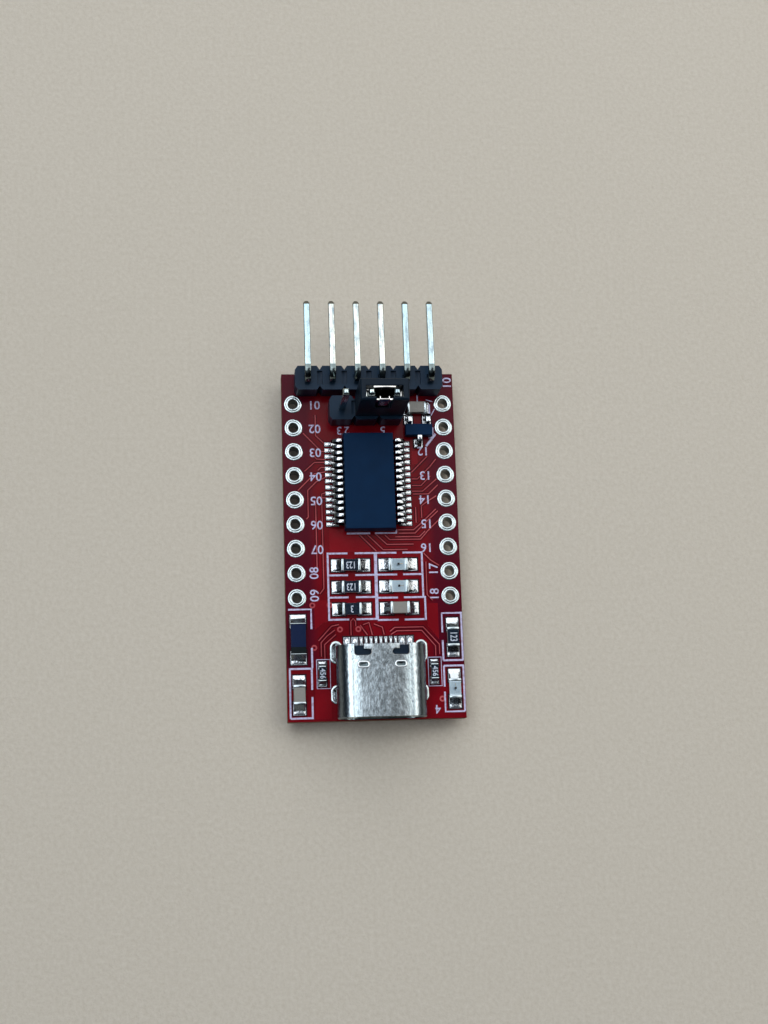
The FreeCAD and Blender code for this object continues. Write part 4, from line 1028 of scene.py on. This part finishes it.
def cut_rims():
    """Runs of points along the sharp upper edges of the shell's rear cut-outs."""
    bm = merged("port_shell")
    bm.verts.index_update()
    bm.verts.ensure_lookup_table()
    ends = {}
    for edge in bm.edges:
        rear = sum(v.co.y for v in edge.verts) / 2 > shell_high.y - 1.5 * mm
        flat = all(abs(v.co.z - shell_high.z) < cad_slack for v in edge.verts)
        if flat and rear and len(edge.link_faces) == 2 and edge.calc_face_angle(0.0) > 1.0:
            for a, b in (edge.verts, reversed(edge.verts)):
                ends.setdefault(a.index, []).append(b.index)
    runs = []
    while any(ends.values()):
        here = min((k for k in ends if ends[k]), key=lambda k: len(ends[k]) != 1)
        run = [here]
        while ends[here]:
            run.append(ends[here].pop())
            ends[run[-1]].remove(here)
            here = run[-1]
        runs.append([bm.verts[i].co.copy() for i in run])
    bm.free()
    return runs


strips("port_shell_cut_rims", cut_rims(), shell_high.z, 0.08, 0.014, 0.05, rim_highlight, "shell_steel")
eased("port_insulator", port_nylon, 0.04)
paint(nodes["port_contacts"].data, lead_tin)
leg_rim = through_board(((0.36, 0.01), (0.4, 0.044), (0.48, 0.049), (0.57, 0.036), (0.64, -0.004)), 0.4)
leg_x = 4.32 * mm
slot_rims = bmesh.new()
for side in (-1, 1):
    for y, half_straight in ((-14.48, 0.51), (-18.71, 0.31)):
        place = (port_x + side * leg_x, y * mm, board_under)
        slot_rims.from_mesh(placed(lathe(leg_rim, 32, (0, half_straight)), place))
plain("port_slot_rims_tinned", slot_rims, levelled_tin, "tinned_copper", "port_slot_rims")
tail_beads = bmesh.new()
tail_near_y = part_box("port_contacts")[1].y
for x, half in [(0.25 + 0.5 * i, 0.155) for i in range(4)] + [(2.4, 0.31), (3.2, 0.31)]:
    for side in (-1, 1):
        place = Vector((port_x + side * x * mm, tail_near_y - 0.46 * mm, pad_level + 0.05 * mm))
        ball(tail_beads, place, (half, 0.5, 0.13), 14, 8)
plain("port_tail_solder", tail_beads, solder_finish, "solder")
paint(nodes["port_leg_solder"].data, solder_finish)


# The module stands on a sheet of warm grey-beige card, lit from a wide window behind its left
# shoulder and from a pale room.

def card(far_colour):
    """Card that a viewer sees fade into one even colour away from the module."""
    finish = Finish("beige_card", Roughness=0.85, Specular_IOR_Level=0.2)
    fibre = finish.noise(2.4, 5.0, 0.7)
    cloud = finish.noise(0.03, 3.0)
    grain = finish.ramp(fibre, ((0.3, 0.0), (0.7, 1.0)))
    shade = finish.mix(grain, (0.65, 0.59, 0.495), (0.755, 0.702, 0.612))
    finish.done(finish.mix(cloud * 0.25, shade, (0.62, 0.565, 0.465)), fibre, 0.05)
    spot = finish.node("ShaderNodeTexCoord", output="Object")
    away = finish.node("ShaderNodeVectorMath", {"operation": "LENGTH"}, {0: spot}, "Value")
    far = finish.soft_step(away, 0.09, 0.3)
    even = finish.node("ShaderNodeEmission", (), {"Color": far_colour + (1,), "Strength": 1.0})
    lit = Value(finish, finish.shader.outputs[0])
    shown = finish.node("ShaderNodeMixShader", (), {0: far * finish.seen(), 1: lit, 2: even})
    finish.put(finish.tree.nodes["Material Output"].inputs["Surface"], shown)
    return finish.material


backdrop_colour = (0.53, 0.5, 0.445)
floor_mesh = bpy.data.meshes.new("floor")
half_card = 1.6
corners = [(x * half_card, y * half_card, 0) for x, y in ((-1, -1), (1, -1), (1, 1), (-1, 1))]
floor_mesh.from_pydata(corners, [], [(0, 1, 2, 3)])
paint(floor_mesh, card(backdrop_colour))
held("floor", floor_mesh)


def softbox(name, place, size, power, colour):
    """A square lamp that faces the middle of the board."""
    light = bpy.data.lights.new(name, "AREA")
    light.shape, light.size, light.energy, light.color = "SQUARE", size, power, colour
    lamp = held(name, light)
    lamp.location = place
    aim = Vector((0, 0, 0.003))
    lamp.rotation_euler = (Vector(place) - aim).to_track_quat("Z", "Y").to_euler()


softbox("north_window", (0.03, 0.36, 0.4), 0.66, 1.8, (0.96, 0.98, 1.0))
softbox("west_window", (-0.17, 0.03, 0.47), 0.3, 0.44, (0.93, 0.97, 1.0))
softbox("east_wall", (0.3, 0.06, 0.36), 0.34, 0.5, (1.0, 0.97, 0.92))

world = bpy.data.worlds.new("pale_room")
bpy.context.scene.world = world
world.use_nodes = True
room = Graph()
room.tree = world.node_tree
upward = room.split(room.node("ShaderNodeTexCoord", output="Generated"), "Z")
westward = upward.part("X") * -2.4 + 1.0
sky = room.ramp(upward, (
    (0.0, (0.035, 0.033, 0.032)), (0.7, (0.026, 0.036, 0.05)), (0.79, (0.21, 0.235, 0.27)),
    (0.85, (0.38, 0.42, 0.47)), (0.97, (0.34, 0.385, 0.44)), (1.0, (0.26, 0.3, 0.35))))
straight = room.node("ShaderNodeLightPath", output="Is Camera Ray")
seen = (room.seen() * room.soft_step(abs(upward), 0.16, 0.04)).math("MAXIMUM", straight)
southward = room.node("ShaderNodeMapRange", (), {"Value": upward.part("Y"), "From Min": 0.0,
                                                 "From Max": -0.4, "To Min": 1.0, "To Max": 0.3})
level = room.node("ShaderNodeClamp", (), {"Value": westward, "Min": 0.35, "Max": 1.7}) * southward
background = world.node_tree.nodes["Background"].inputs
room.put(background["Color"], room.mix(seen, sky, backdrop_colour))
room.put(background["Strength"], level * (1 - seen) + seen)

lens = bpy.data.cameras.new("camera")
lens.sensor_fit, lens.sensor_height, lens.lens, lens.clip_start = "VERTICAL", 36.0, 49.85, 0.001
camera = held("camera", lens)
tilt = Matrix.Rotation(-0.201, 4, "X") @ Matrix.Rotation(0.104, 4, "Y") @ Matrix.Rotation(0.033, 4, "Z")
camera.matrix_world = Matrix.Translation((-0.0145, -0.02876, 0.1452)) @ tilt.transposed()
bpy.context.scene.camera = camera
bpy.context.scene.view_settings.view_transform = "Standard"
